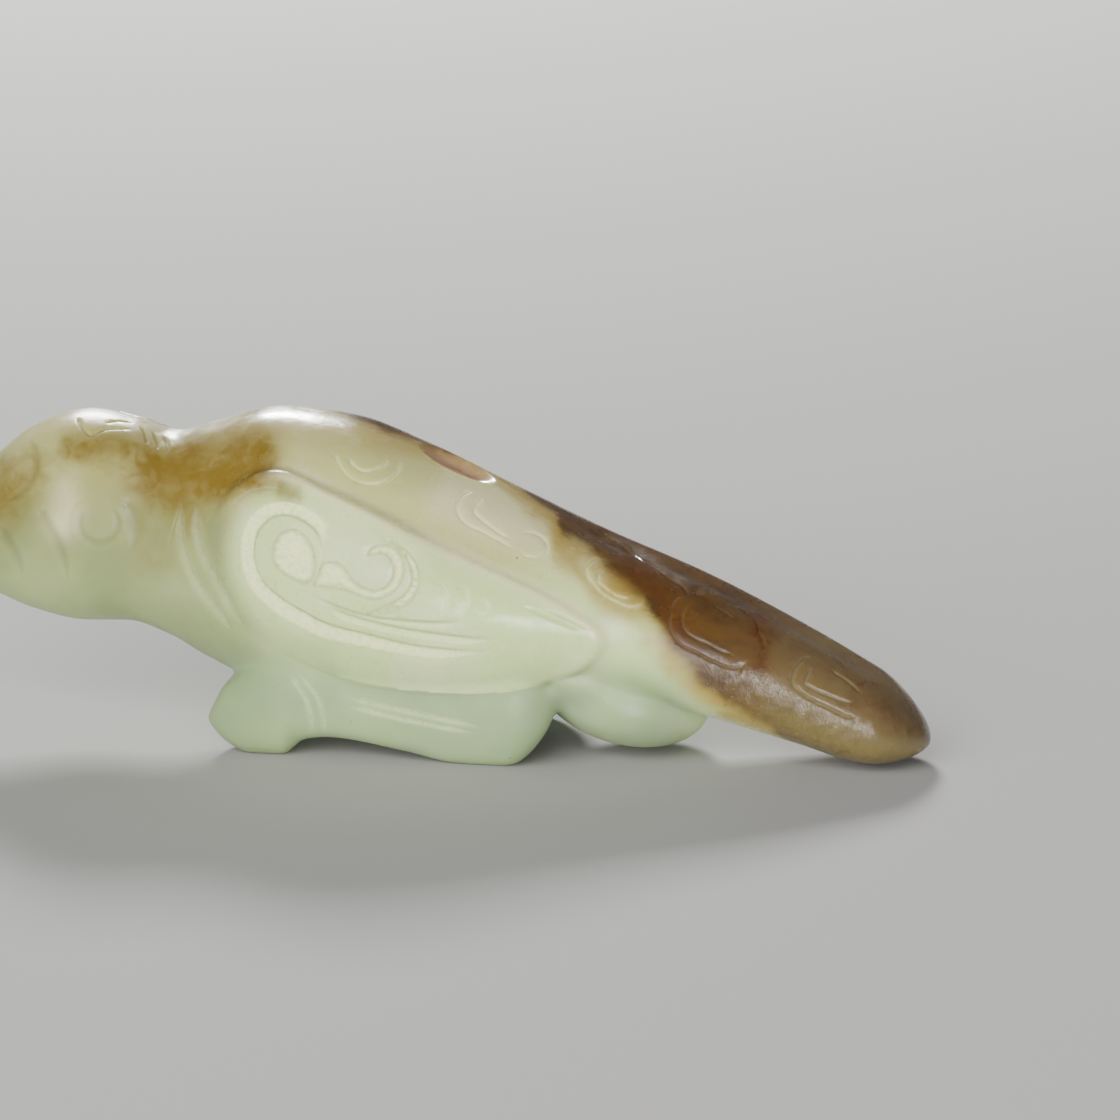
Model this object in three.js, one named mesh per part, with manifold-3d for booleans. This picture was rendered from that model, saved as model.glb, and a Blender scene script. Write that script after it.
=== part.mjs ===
// A crouching bird, carved in the round from one pebble of pale nephrite.
// Units are millimetres. +Z is up, the beak points to -X, the tail to +X, and the floor is z = 0.
// Both flanks are carved alike, so each paired form is made on the -Y side and mirrored.

import * as THREE from 'three';
import { mergeVertices } from 'three/addons/utils/BufferGeometryUtils.js';
import Module from 'manifold-3d';

const wasm = await Module();
wasm.setup();

// The trunk from beak to tail tip: station x, height of the back, height of the underside, half width
const trunkStations = [
  [-31.9, 10.9, 9.0, 0.8],
  [-30.8, 12.2, 8.9, 1.3],
  [-29.4, 13.5, 8.8, 1.9],
  [-28.2, 15.0, 8.4, 2.9],
  [-26.6, 17.0, 8.1, 4.0],
  [-24.3, 18.8, 7.3, 4.9],
  [-20.9, 19.8, 6.7, 5.5],
  [-18.0, 19.4, 6.8, 5.3],
  [-15.4, 18.7, 6.0, 5.1],
  [-13.0, 19.4, 4.8, 5.9],
  [-8.8, 20.5, 3.2, 7.0],
  [-4.5, 20.1, 2.8, 7.5],
  [0.1, 18.5, 2.6, 7.5],
  [5.0, 16.3, 2.8, 7.1],
  [11.3, 13.5, 4.6, 6.1],
  [17.7, 11.1, 2.9, 5.2],
  [24.0, 8.1, 1.25, 4.6],
  [28.4, 5.7, 0.15, 4.1],
  [31.9, 3.5, 0.1, 3.4],
];
const trunkFullness = 2.3;
const trunkWidestAt = 0.4;
const beakRound = 1.1;
const tailRound = 3.6;
const trunkMesh = { inner: 30, atEnds: 4, around: 28 };

// A shallow valley runs along the middle of the lower back and the tail
const valley = { from: 9, to: 30, depth: 0.35, halfWidth: 1.3, runOut: 3 };

// The folded leg: station x, top, underside, half thickness. Toes in front, the shank behind them
const legStations = [
  [-12.4, 2.6, 1.1, 1.3],
  [-11.2, 4.3, 0.5, 1.8],
  [-9.5, 5.4, -0.15, 2.3],
  [-7.6, 6.2, -0.15, 2.3],
  [-6.2, 6.8, 0.9, 2.1],
  [-4.6, 7.4, 1.1, 2.1],
  [0.0, 8.2, 0.5, 2.3],
  [3.6, 8.4, -0.12, 2.4],
  [6.2, 8.0, -0.12, 2.3],
  [9.5, 6.6, 1.4, 1.9],
];
const legFullness = 2.6;
const legWidestAt = 0.5;
const legOut = 4.6;
const toeRound = 1.6;
const heelRound = 2.6;
const legMesh = { inner: 10, atEnds: 3, around: 12 };

// The egg-shaped lobe under the root of the tail
const lobe = { x: 12.7, z: 3.8, length: 11.2, height: 6.4, width: 10.6, tiltDegrees: 16, facets: [16, 8] };

// The folded wing is a raised panel. Its edge is crisp but for the soft front of the shoulder
const wingOutline = [
  [-11.8, 13.6], [-10.6, 16.5], [-8.0, 17.9], [-4.1, 16.9], [4.2, 13.3], [10.6, 10.3],
  [12.7, 8.6], [11.7, 6.8], [8.6, 5.4], [3.5, 4.9], [-3.0, 5.4], [-8.4, 7.2], [-11.1, 10.3],
];
const wing = {
  x: -1.5,
  z: 11,
  rise: 1.0,
  riseAtTip: 0.4,
  tipFrom: 0.3,
  lowDrop: 0.5,
  lowFrom: 0.2,
  crispFrom: 0.88,
  edgeDrop: 0.3,
  softFrom: 0.5,
  softSide: 218,
  softSpan: 62,
  rings: [0.5, 0.85, 0.96, 1],
  rootShare: 0.97,
  rootSink: 0.8,
  middleSink: 1.6,
};

// A line cut with a small wheel: width at the surface and depth
const lineWidth = 0.5;
const lineDepth = 0.26;
const cutterLift = 0.3;

// Lines cut into the wing, in the side view
const wingLines = [
  { name: 'volute and its long feather', steps: 18, points: [
    [-5.0, 12.0], [-4.6, 13.5], [-5.6, 15.0], [-7.3, 15.4], [-8.6, 14.5], [-8.8, 12.9], [-8.0, 10.9],
    [-5.6, 8.9], [-2.6, 7.9], [1.5, 7.4], [6.2, 7.8],
  ] },
  { name: 'outer edge of the volute', steps: 12, points: [
    [-3.9, 14.4], [-5.4, 15.9], [-7.5, 16.4], [-9.3, 15.3], [-9.9, 13.0], [-9.5, 10.9], [-7.8, 9.0],
    [-4.6, 7.2], [-1.6, 6.4],
  ] },
  { name: 'leaf in the volute', closed: true, steps: 7, points: [
    [-7.2, 14.5], [-7.8, 13.3], [-7.0, 12.1], [-5.6, 11.5], [-5.2, 12.8], [-6.1, 14.1],
  ] },
  { name: 'curl behind the volute', steps: 11, points: [
    [-4.1, 12.6], [-3.3, 11.5], [-1.8, 10.9], [-0.4, 11.4], [0.1, 12.7], [-0.6, 13.9], [-1.8, 13.4],
    [-1.5, 12.2], [-0.8, 12.3],
  ] },
  { name: 'crescent round the curl', steps: 6, points: [
    [-0.2, 14.3], [0.9, 13.4], [1.3, 12.0], [0.8, 10.5], [-1.0, 10.2],
  ] },
  { name: 'upper feather', steps: 4, points: [[-1.2, 10.0], [1.0, 9.8], [5.0, 9.7]] },
  { name: 'middle feather', steps: 5, points: [[-5.1, 11.2], [-2.6, 10.2], [1.4, 9.1], [6.4, 8.7]] },
  { name: 'line inside the tip', steps: 4, points: [[6.2, 11.1], [9.4, 9.8], [11.8, 8.8]] },
];
// Short curved ends of the small feathers, in a row
const smallFeathers = {
  count: 3, x: 2.9, z: 11.9, stepX: 1.5, stepZ: -0.45, height: 2.1, shorter: 0.2, bow: 0.45,
};

// Lines cut into the trunk, in the side view
const trunkLines = [
  { name: 'front of the collar', steps: 7, points: [
    [-13.9, 15.9], [-13.8, 13.4], [-12.9, 11.2], [-11.2, 9.0], [-9.8, 7.0],
  ] },
  { name: 'back of the collar', steps: 6, points: [
    [-12.6, 15.4], [-12.5, 13.2], [-11.8, 10.8], [-10.3, 8.6], [-9.0, 7.0],
  ] },
  { name: 'cheek', steps: 4, points: [[-22.7, 14.7], [-21.6, 13.0], [-20.9, 10.7]] },
  { name: 'corner of the beak', steps: 4, points: [[-25.7, 13.6], [-24.5, 12.3], [-24.1, 10.3]] },
  { name: 'gape of the beak', steps: 4, points: [[-31.5, 9.9], [-29.5, 10.8], [-26.6, 11.3]] },
  { name: 'shoulder', steps: 5, points: [[-13.5, 17.1], [-11.5, 17.9], [-9.7, 18.9]] },
];

// Lines cut into the folded leg, in the side view: two rings at the ankle, two lines on the shank
const legLines = [
  { name: 'front ankle ring', steps: 5, points: [[-6.9, 5.1], [-5.9, 3.6], [-5.6, 1.7]] },
  { name: 'back ankle ring', steps: 5, points: [[-6.2, 5.4], [-5.1, 3.7], [-4.8, 1.8]] },
  { name: 'upper line of the shank', steps: 4, points: [[-3.7, 4.2], [0.5, 3.6], [5.7, 2.8]] },
  { name: 'lower line of the shank', steps: 4, points: [[-3.4, 3.7], [0.5, 3.1], [5.3, 2.5]] },
];

// Cloud scrolls stand on the flank of the back and tail: a hook of one or two lines, with a button in some.
// Place is the station x and the angle round the section, with 0 at the widest point and 90 on the back
const scrolls = [
  { x: 5.6, angle: 56, length: 4.6, width: 2.6, lines: 2, tilt: -30, button: 3.6 },
  { x: 13.2, angle: 42, length: 3.4, width: 2.4, lines: 1, tilt: -28 },
  { x: 19.4, angle: 38, length: 5.4, width: 3.0, lines: 2, tilt: -27 },
  { x: 26.3, angle: 38, length: 4.6, width: 2.5, lines: 2, tilt: -30 },
];
const roundScroll = { x: -2.2, angle: 58, radius: 1.9, from: 160, to: 390 };
const scrollGap = 0.75;
const hookTurn = { from: 75, to: 270 };
const scrollButton = { radius: 0.85, higherBy: 6 };

// The eye and the scroll on the cheek
const eye = { x: -25.2, angle: 44, radius: 2.0 };
const cheekScroll = { x: -19.0, angle: 12, radius: 1.75, from: 200, to: 0, button: 1.15, tail: 2.0 };

// The tuft that lies back on the crown, seen from above
const crest = [[-21.7, 0.0], [-21.0, -1.6], [-20.0, -2.7], [-18.6, -2.1], [-16.6, -1.4], [-14.6, -0.7]];

// An oval hollow on the middle of the back
const hollow = { x: 2.3, length: 4.8, width: 3.4, depth: 0.8, facets: [12, 6] };

// What is ground off below the floor
const groundOff = { length: 90, width: 40, depth: 10 };

// Points closer than this are one point of a solid
const weld = 1e-4;

// A share of a section's half size that still has a slope
const nearlyWhole = 0.999;

// A value that changes smoothly along x through given rows, without overshooting any of them
function profile(rows, column) {
  const xs = rows.map((row) => row[0]);
  const values = rows.map((row) => row[column]);
  const last = xs.length - 1;
  const slope = (i) => (values[i + 1] - values[i]) / (xs[i + 1] - xs[i]);
  const tangents = values.map((_, i) => {
    if (i === 0) return slope(0);
    if (i === last) return slope(last - 1);
    const before = slope(i - 1);
    const after = slope(i);
    return before * after <= 0 ? 0 : (2 * before * after) / (before + after);
  });
  return (x) => {
    let i = 0;
    while (i < last - 1 && x > xs[i + 1]) i += 1;
    const span = xs[i + 1] - xs[i];
    const t = (x - xs[i]) / span;
    const startPart = (1 + t * t * (2 * t - 3)) * values[i] + t * t * (3 - 2 * t) * values[i + 1];
    const slopePart = t * (1 - t) * (1 - t) * tangents[i] + t * t * (t - 1) * tangents[i + 1];
    return startPart + span * slopePart;
  };
}

const clamp = THREE.MathUtils.clamp;
const smoothstep = THREE.MathUtils.smoothstep;
const radians = THREE.MathUtils.degToRad;
const power = (value, exponent) => Math.sign(value) * Math.abs(value) ** exponent;

// A form with sections fuller than ellipses, set along x, whose two ends close in a round.
// Each section is widest at a given share of its height
function sectionedForm({ rows, fullness, widestAt, middleY, startRound, endRound }) {
  const top = profile(rows, 1);
  const bottom = profile(rows, 2);
  const halfWidth = profile(rows, 3);
  const start = rows[0][0];
  const end = rows[rows.length - 1][0];
  const closing = (x) => {
    const fromStart = (start + startRound - x) / startRound;
    const fromEnd = (x - end + endRound) / endRound;
    const reach = clamp(Math.max(fromStart, fromEnd), 0, 1);
    return Math.sqrt(1 - reach * reach);
  };
  const at = (x) => {
    const tall = top(x) - bottom(x);
    const closed = closing(x);
    return {
      z: bottom(x) + widestAt * tall,
      up: (1 - widestAt) * tall * closed,
      down: widestAt * tall * closed,
      width: halfWidth(x) * closed,
    };
  };
  return { fullness, middleY, start, end, startRound, endRound, at };
}

const trunk = sectionedForm({
  rows: trunkStations,
  fullness: trunkFullness,
  widestAt: trunkWidestAt,
  middleY: 0,
  startRound: beakRound,
  endRound: tailRound,
});
const leg = sectionedForm({
  rows: legStations,
  fullness: legFullness,
  widestAt: legWidestAt,
  middleY: -legOut,
  startRound: toeRound,
  endRound: heelRound,
});

// A place's offset from the middle of its section, as shares of the half width and of the height there
function shares(form, point) {
  const section = form.at(point.x);
  const rise = point.z - section.z;
  return {
    across: (point.y - form.middleY) / section.width,
    above: rise / (rise > 0 ? section.up : section.down),
  };
}

// How far the valley sinks the back at a place seen from above
function valleyDepth(x, y) {
  const along = smoothstep(x, valley.from, valley.from + valley.runOut)
    * (1 - smoothstep(x, valley.to - valley.runOut, valley.to));
  return valley.depth * along * Math.exp(-((y / valley.halfWidth) ** 2));
}

// A point of a form's surface at station x, at an angle round the section
function surfacePoint(form, x, angle) {
  const section = form.at(x);
  const y = section.width * power(Math.cos(angle), 2 / form.fullness);
  const half = Math.sin(angle) > 0 ? section.up : section.down;
  let z = section.z + half * power(Math.sin(angle), 2 / form.fullness);
  if (form === trunk && Math.sin(angle) > 0) z -= valleyDepth(x, y);
  return new THREE.Vector3(x, form.middleY + y, z);
}

// The nearest surface point in the section's own direction, for a point a little off the form
function ontoForm(form, point) {
  const section = form.at(point.x);
  const { across, above } = shares(form, point);
  const reach = (Math.abs(across) ** form.fullness + Math.abs(above) ** form.fullness) ** (1 / form.fullness);
  const half = above > 0 ? section.up : section.down;
  const y = (across / reach) * section.width;
  const z = section.z + (above / reach) * half;
  const sunk = form === trunk && above > 0 ? valleyDepth(point.x, y) : 0;
  return new THREE.Vector3(point.x, form.middleY + y, z - sunk);
}

// The surface point on the -Y side for a place of the side view
function fromSide(form, x, z) {
  const { above } = shares(form, { x, y: 0, z });
  const share = clamp(Math.abs(above), 0, nearlyWhole) ** form.fullness;
  return new THREE.Vector3(x, form.middleY - form.at(x).width * (1 - share) ** (1 / form.fullness), z);
}

// The surface point on the back for a place seen from above
function fromAbove(x, y) {
  const section = trunk.at(x);
  const share = clamp(Math.abs(y) / section.width, 0, nearlyWhole) ** trunk.fullness;
  const above = (1 - share) ** (1 / trunk.fullness);
  return new THREE.Vector3(x, y, section.z + section.up * above - valleyDepth(x, y));
}

// The outward direction of a form's surface
function outward(form, point) {
  const reach = (p) => {
    const { across, above } = shares(form, p);
    return Math.abs(across) ** form.fullness + Math.abs(above) ** form.fullness;
  };
  const step = 0.05;
  const direction = new THREE.Vector3();
  ['x', 'y', 'z'].forEach((axis) => {
    const ahead = point.clone();
    const behind = point.clone();
    ahead[axis] += step;
    behind[axis] -= step;
    direction[axis] = reach(ahead) - reach(behind);
  });
  return direction.normalize();
}

// Stations along a form, closer together where its ends close
function stationsAlong(form, inner, atEnds) {
  const ease = (i) => 1 - Math.cos((Math.PI / 2) * (i / atEnds));
  const places = [];
  for (let i = 1; i <= atEnds; i += 1) places.push(form.start + form.startRound * ease(i));
  const from = form.start + form.startRound;
  const to = form.end - form.endRound;
  for (let i = 1; i < inner; i += 1) places.push(from + ((to - from) * i) / inner);
  for (let i = atEnds; i >= 1; i -= 1) places.push(form.end - form.endRound * ease(i));
  return places;
}

function indexedGeometry(points, faces) {
  const geometry = new THREE.BufferGeometry();
  geometry.setAttribute('position', new THREE.Float32BufferAttribute(points.flatMap((p) => p.toArray()), 3));
  geometry.setIndex(faces);
  return geometry;
}

// Closed mesh over rings of points. It has a fan over each end, or it joins up with itself
function meshOverRings(rings, startPoint, endPoint) {
  const around = rings[0].length;
  const points = rings.flat();
  const faces = [];
  const index = (ring, i) => (ring % rings.length) * around + (i % around);
  const links = startPoint ? rings.length - 1 : rings.length;
  for (let i = 0; i < around; i += 1) {
    for (let ring = 0; ring < links; ring += 1) {
      faces.push(index(ring, i), index(ring + 1, i), index(ring + 1, i + 1));
      faces.push(index(ring, i), index(ring + 1, i + 1), index(ring, i + 1));
    }
    if (startPoint) {
      faces.push(points.length, index(0, i), index(0, i + 1));
      faces.push(points.length + 1, index(links, i + 1), index(links, i));
    }
  }
  return indexedGeometry(startPoint ? [...points, startPoint, endPoint] : points, faces);
}

// A closed geometry as a solid with its faces outwards
function solid(geometry) {
  const bare = geometry.clone();
  bare.deleteAttribute('normal');
  bare.deleteAttribute('uv');
  const merged = mergeVertices(bare, weld);
  const build = (corners) => new wasm.Manifold(new wasm.Mesh({
    numProp: 3,
    vertProperties: new Float32Array(merged.attributes.position.array),
    triVerts: new Uint32Array(corners),
  }));
  const corners = Array.from(merged.index.array);
  const made = build(corners);
  return made.volume() > 0 ? made : build(corners.reverse());
}

const joined = (shapes) => shapes.reduce((all, shape) => all.add(shape));
const mirrored = (shape) => shape.mirror([0, 1, 0]);
const onBothFlanks = (shape) => shape.add(mirrored(shape));

function formSolid(form, { inner, atEnds, around }) {
  const rings = stationsAlong(form, inner, atEnds).map((x) => (
    Array.from({ length: around }, (_, i) => surfacePoint(form, x, (2 * Math.PI * i) / around))
  ));
  const startPoint = new THREE.Vector3(form.start, form.middleY, form.at(form.start).z);
  const endPoint = new THREE.Vector3(form.end, form.middleY, form.at(form.end).z);
  return solid(meshOverRings(rings, startPoint, endPoint));
}

function lobeSolid() {
  const egg = new THREE.SphereGeometry(0.5, ...lobe.facets);
  egg.scale(lobe.length, lobe.width, lobe.height);
  egg.rotateY(radians(lobe.tiltDegrees));
  egg.translate(lobe.x, 0, lobe.z);
  return solid(egg);
}

// The smooth curve through hand-set points, in the side view or from above
const smoothCurve = (points, closed) => new THREE.CatmullRomCurve3(
  points.map(([a, b]) => new THREE.Vector3(a, b, 0)),
  closed,
  'centripetal',
);

function curveThrough(points, closed, steps) {
  const drawn = smoothCurve(points, closed).getSpacedPoints(steps);
  return closed ? drawn.slice(0, -1) : drawn;
}

// The wing's outline, with every hand-set point and one between each two
const wingEdge = smoothCurve(wingOutline, true).getPoints(2 * wingOutline.length).slice(0, -1);
const wingRim = curveThrough(wingOutline, true, 200);

// How far the outline is from the wing's middle in a direction
function wingReach(angle) {
  const turnTo = (p) => {
    const off = Math.atan2(p.y - wing.z, p.x - wing.x) - angle;
    return Math.abs(Math.atan2(Math.sin(off), Math.cos(off)));
  };
  const nearest = wingRim.reduce((best, p) => (turnTo(p) < turnTo(best) ? p : best));
  return Math.hypot(nearest.x - wing.x, nearest.y - wing.z);
}

// The rise of the wing's face, by the share of the way out to the edge and the direction from its middle
function wingRise(share, angle) {
  const away = angle - radians(wing.softSide);
  const turn = Math.abs(Math.atan2(Math.sin(away), Math.cos(away)));
  const softness = 1 - smoothstep(turn, radians(wing.softSpan) / 2, radians(wing.softSpan));
  const soft = 1 - smoothstep(share, wing.softFrom, 1);
  const crisp = 1 - wing.edgeDrop * smoothstep(share, wing.crispFrom, 1);
  const towardsTip = smoothstep(share * Math.cos(angle), wing.tipFrom, 1);
  const towardsLow = smoothstep(-share * Math.sin(angle), wing.lowFrom, 1);
  const height = wing.rise + (wing.riseAtTip - wing.rise) * towardsTip;
  return height * (1 - wing.lowDrop * towardsLow) * (softness * soft + (1 - softness) * crisp);
}

function wingSolid() {
  const face = (share, edge, sink) => {
    const angle = Math.atan2(edge.y - wing.z, edge.x - wing.x);
    const x = wing.x + share * (edge.x - wing.x);
    const z = wing.z + share * (edge.y - wing.z);
    const onFlank = fromSide(trunk, x, z);
    return onFlank.addScaledVector(outward(trunk, onFlank), sink ? -sink : wingRise(share, angle));
  };
  const ring = (share, sink) => wingEdge.map((edge) => face(share, edge, sink));
  const rings = [...wing.rings.map((share) => ring(share, 0)), ring(wing.rootShare, wing.rootSink)];
  return solid(meshOverRings(rings, face(0, wingEdge[0], 0), face(0, wingEdge[0], wing.middleSink)));
}

// The cutter for one line: a V that follows points on the surface and runs out at open ends
function cutter(path, closed, width, depth) {
  const count = path.length;
  const flare = (width / 2) * (1 + cutterLift / depth);
  const rings = path.map(({ point, normal }, i) => {
    const ahead = path[closed ? (i + 1) % count : Math.min(i + 1, count - 1)].point;
    const behind = path[closed ? (i + count - 1) % count : Math.max(i - 1, 0)].point;
    const along = ahead.clone().sub(behind).normalize();
    const across = along.cross(normal).normalize();
    const crown = point.clone().addScaledVector(normal, cutterLift);
    return [
      crown.clone().addScaledVector(across, flare),
      crown.clone().addScaledVector(across, -flare),
      point.clone().addScaledVector(normal, -depth),
    ];
  });
  if (closed) return solid(meshOverRings(rings));
  const inner = rings.slice(1, -1);
  const tip = ({ point, normal }) => point.clone().addScaledVector(normal, cutterLift / 2);
  return solid(meshOverRings(inner, tip(path[0]), tip(path[count - 1])));
}

const onSurface = (form, point, rise = 0) => {
  const normal = outward(form, point);
  return { point: point.clone().addScaledVector(normal, rise), normal };
};

// Lines given in the side view, on the trunk, the leg or the raised wing
function sideLines(lines, form, raised) {
  return lines.map(({ points, closed = false, steps }) => {
    const path = curveThrough(points, closed, steps).map((p) => {
      const angle = Math.atan2(p.y - wing.z, p.x - wing.x);
      const share = Math.hypot(p.x - wing.x, p.y - wing.z) / wingReach(angle);
      return onSurface(form, fromSide(form, p.x, p.y), raised ? wingRise(clamp(share, 0, 1), angle) : 0);
    });
    return cutter(path, closed, lineWidth, lineDepth);
  });
}

function smallFeatherLines() {
  const { count, x, z, stepX, stepZ, height, shorter, bow } = smallFeathers;
  return Array.from({ length: count }, (_, i) => {
    const left = x + i * stepX;
    const high = z + i * stepZ;
    const long = height - shorter * i;
    return { steps: 3, points: [[left, high], [left + bow, high - long / 2], [left - bow, high - long]] };
  });
}

// A drawing in millimetres laid on the trunk round a place given by station and angle, turned by a tilt
function stamp(place, drawing, tiltDegrees, closed) {
  const centre = surfacePoint(trunk, place.x, Math.PI + radians(-place.angle));
  const normal = outward(trunk, centre);
  const level = new THREE.Vector3(1, 0, 0).projectOnPlane(normal).normalize();
  const up = level.clone().cross(normal).normalize();
  if (up.z < 0) up.negate();
  const tilt = radians(tiltDegrees);
  const path = drawing.map(([p, q]) => {
    const along = p * Math.cos(tilt) - q * Math.sin(tilt);
    const above = p * Math.sin(tilt) + q * Math.cos(tilt);
    const spot = centre.clone().addScaledVector(level, along).addScaledVector(up, above);
    return onSurface(trunk, ontoForm(trunk, spot));
  });
  return cutter(path, closed, lineWidth, lineDepth);
}

const circle = (radius, steps) => (
  Array.from({ length: steps }, (_, i) => {
    const angle = (2 * Math.PI * i) / steps;
    return [radius * Math.cos(angle), radius * Math.sin(angle)];
  })
);

// Part of a circle, from one angle to another in degrees
const arc = (radius, from, to, steps) => (
  Array.from({ length: steps + 1 }, (_, i) => {
    const angle = radians(from + ((to - from) * i) / steps);
    return [radius * Math.cos(angle), radius * Math.sin(angle)];
  })
);

// A hook: a round front end that runs on into one long straight side
function hook(length, width) {
  const radius = width / 2;
  const front = radius - length / 2;
  const turn = arc(radius, hookTurn.from, hookTurn.to, 4).map(([p, q]) => [front + p, q]);
  const side = [0.5, 1].map((t) => [front + (length - radius) * t, -radius]);
  return [...turn, ...side];
}

function scrollCutters({ x, angle, length, width, lines, tilt, button }) {
  const cutters = [];
  for (let line = 0; line < lines; line += 1) {
    const inset = 2 * scrollGap * line;
    cutters.push(stamp({ x, angle }, hook(length - inset, width - inset), tilt, false));
  }
  if (button) {
    const place = { x: x + button * Math.cos(radians(tilt)), angle: angle + scrollButton.higherBy };
    cutters.push(stamp(place, circle(scrollButton.radius, 7), 0, true));
  }
  return cutters;
}

function headCutters() {
  const { radius, from, to, button, tail } = cheekScroll;
  const comma = [...arc(radius, from, to, 6), [radius, -tail / 2], [radius, -tail]];
  const crestPath = curveThrough(crest, false, 7).map((p) => onSurface(trunk, fromAbove(p.x, p.y)));
  return [
    stamp(eye, circle(eye.radius, 10), 0, true),
    stamp(cheekScroll, comma, 0, false),
    stamp(cheekScroll, circle(button - lineWidth / 2, 7), 0, true),
    cutter(crestPath, false, lineWidth, lineDepth),
  ];
}

function hollowCutter() {
  const scoop = new THREE.SphereGeometry(0.5, ...hollow.facets);
  const ahead = fromAbove(hollow.x + hollow.length / 2, 0);
  const behind = fromAbove(hollow.x - hollow.length / 2, 0);
  scoop.scale(hollow.length, hollow.width, 2 * hollow.depth);
  scoop.rotateY(Math.atan2(behind.z - ahead.z, ahead.x - behind.x));
  scoop.translate(hollow.x, 0, fromAbove(hollow.x, 0).z);
  return solid(scoop);
}

// Everything below the floor is ground away, which leaves the flat soles
function floorBlock() {
  const { length, width, depth } = groundOff;
  const block = new THREE.BoxGeometry(length, width, depth);
  block.translate(0, 0, -depth / 2);
  return solid(block);
}

function carveBird() {
  const roughed = joined([
    formSolid(trunk, trunkMesh),
    onBothFlanks(formSolid(leg, legMesh)),
    onBothFlanks(wingSolid()),
    lobeSolid(),
  ]);
  const flankLines = joined([
    ...sideLines([...wingLines, ...smallFeatherLines()], trunk, true),
    ...sideLines(trunkLines, trunk, false),
    ...sideLines(legLines, leg, false),
    ...scrolls.flatMap(scrollCutters),
    stamp(roundScroll, arc(roundScroll.radius, roundScroll.from, roundScroll.to, 6), 0, false),
    ...headCutters(),
  ]);
  return roughed.subtract(onBothFlanks(flankLines)).subtract(hollowCutter()).subtract(floorBlock());
}

function toMesh(shape, name, material) {
  const { vertProperties, triVerts } = shape.getMesh();
  const geometry = new THREE.BufferGeometry();
  geometry.setAttribute('position', new THREE.Float32BufferAttribute(vertProperties, 3));
  geometry.setIndex(Array.from(triVerts));
  const mesh = new THREE.Mesh(geometry, material);
  mesh.name = name;
  return mesh;
}

const nephrite = new THREE.MeshStandardMaterial({ color: '#c6ceac', roughness: 0.28, metalness: 0 });

const bird = new THREE.Group();
bird.add(toMesh(carveBird(), 'bird_carving', nephrite));

export default bird;
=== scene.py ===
# %% [markdown]
# # A pocket jade bird
# The object is a crouching bird about 64 mm long, carved in the round from one pebble of pale nephrite.
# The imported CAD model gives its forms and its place. This file remakes it as a smooth, polished carving with
# its fine wheel-cut relief, and gives it the colours of the stone.
# Shapes are worked out in millimetres, because a carver thinks in them, and turned to metres at the end.

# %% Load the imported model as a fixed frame
import math
import bmesh
import bpy
import numpy as np
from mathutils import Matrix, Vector, noise as lumps
from mathutils.bvhtree import BVHTree


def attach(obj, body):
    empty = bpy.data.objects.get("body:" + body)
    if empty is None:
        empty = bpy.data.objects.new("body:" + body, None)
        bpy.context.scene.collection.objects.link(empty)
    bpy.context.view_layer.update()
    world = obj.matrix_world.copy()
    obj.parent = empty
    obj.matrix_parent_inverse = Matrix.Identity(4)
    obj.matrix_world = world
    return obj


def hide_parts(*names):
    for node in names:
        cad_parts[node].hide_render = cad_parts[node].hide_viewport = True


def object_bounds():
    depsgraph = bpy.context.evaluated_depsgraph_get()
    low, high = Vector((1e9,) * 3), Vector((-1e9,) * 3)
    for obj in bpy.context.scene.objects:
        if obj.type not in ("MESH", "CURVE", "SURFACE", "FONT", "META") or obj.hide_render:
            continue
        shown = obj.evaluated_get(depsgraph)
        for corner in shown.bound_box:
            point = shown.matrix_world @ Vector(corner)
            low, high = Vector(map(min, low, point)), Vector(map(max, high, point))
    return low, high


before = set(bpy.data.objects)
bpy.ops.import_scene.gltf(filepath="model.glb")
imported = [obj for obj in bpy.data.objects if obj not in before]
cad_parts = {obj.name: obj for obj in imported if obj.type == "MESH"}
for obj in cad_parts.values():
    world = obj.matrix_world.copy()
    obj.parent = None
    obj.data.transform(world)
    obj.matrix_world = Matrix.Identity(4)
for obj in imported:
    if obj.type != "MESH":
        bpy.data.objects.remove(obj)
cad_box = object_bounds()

METRES = 0.001
print("CAD box in mm:", [[round(value / METRES, 2) for value in corner] for corner in cad_box])

# %% [markdown]
# ## The camera
# The picture is a close view from a long lens, slightly above the table and a little from the tail's side.
# A long lens keeps the small carving free of strong perspective. The camera comes first, because it shows
# how wide each cut is in the picture, and so how fine the carving has to be.

# %% Place the camera
AZIMUTH = math.radians(11)
ELEVATION = math.radians(15)
DISTANCE = 450
FIELD_WIDTH = 69.57
SENSOR = 36
aim = Vector((7.93, 4.41, 10.52))
towards_camera = Vector((
    math.sin(AZIMUTH) * math.cos(ELEVATION),
    -math.cos(AZIMUTH) * math.cos(ELEVATION),
    math.sin(ELEVATION),
))
camera_data = bpy.data.cameras.new("long_lens")
camera_data.sensor_width = SENSOR
camera_data.lens = SENSOR * DISTANCE / FIELD_WIDTH
camera_data.clip_start = 0.01
camera = bpy.data.objects.new("camera", camera_data)
camera.location = (aim + DISTANCE * towards_camera) * METRES
camera.rotation_euler = towards_camera.to_track_quat("Z", "Y").to_euler()
bpy.context.scene.collection.objects.link(camera)
bpy.context.scene.camera = camera
print("lens:", round(camera_data.lens, 1), "mm; one pixel shows", round(FIELD_WIDTH / 1120, 3), "mm")

# %% [markdown]
# ## Helpers for smooth shapes
# A pebble carving has no straight edges. Its sizes are set at a few stations, and a profile runs smoothly
# through them without overshooting. Drawn lines are smooth curves through given points.

# %% Profiles and curves
def smoothstep(value, low, high):
    share = np.clip((value - low) / (high - low), 0, 1)
    return share * share * (3 - 2 * share)


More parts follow.
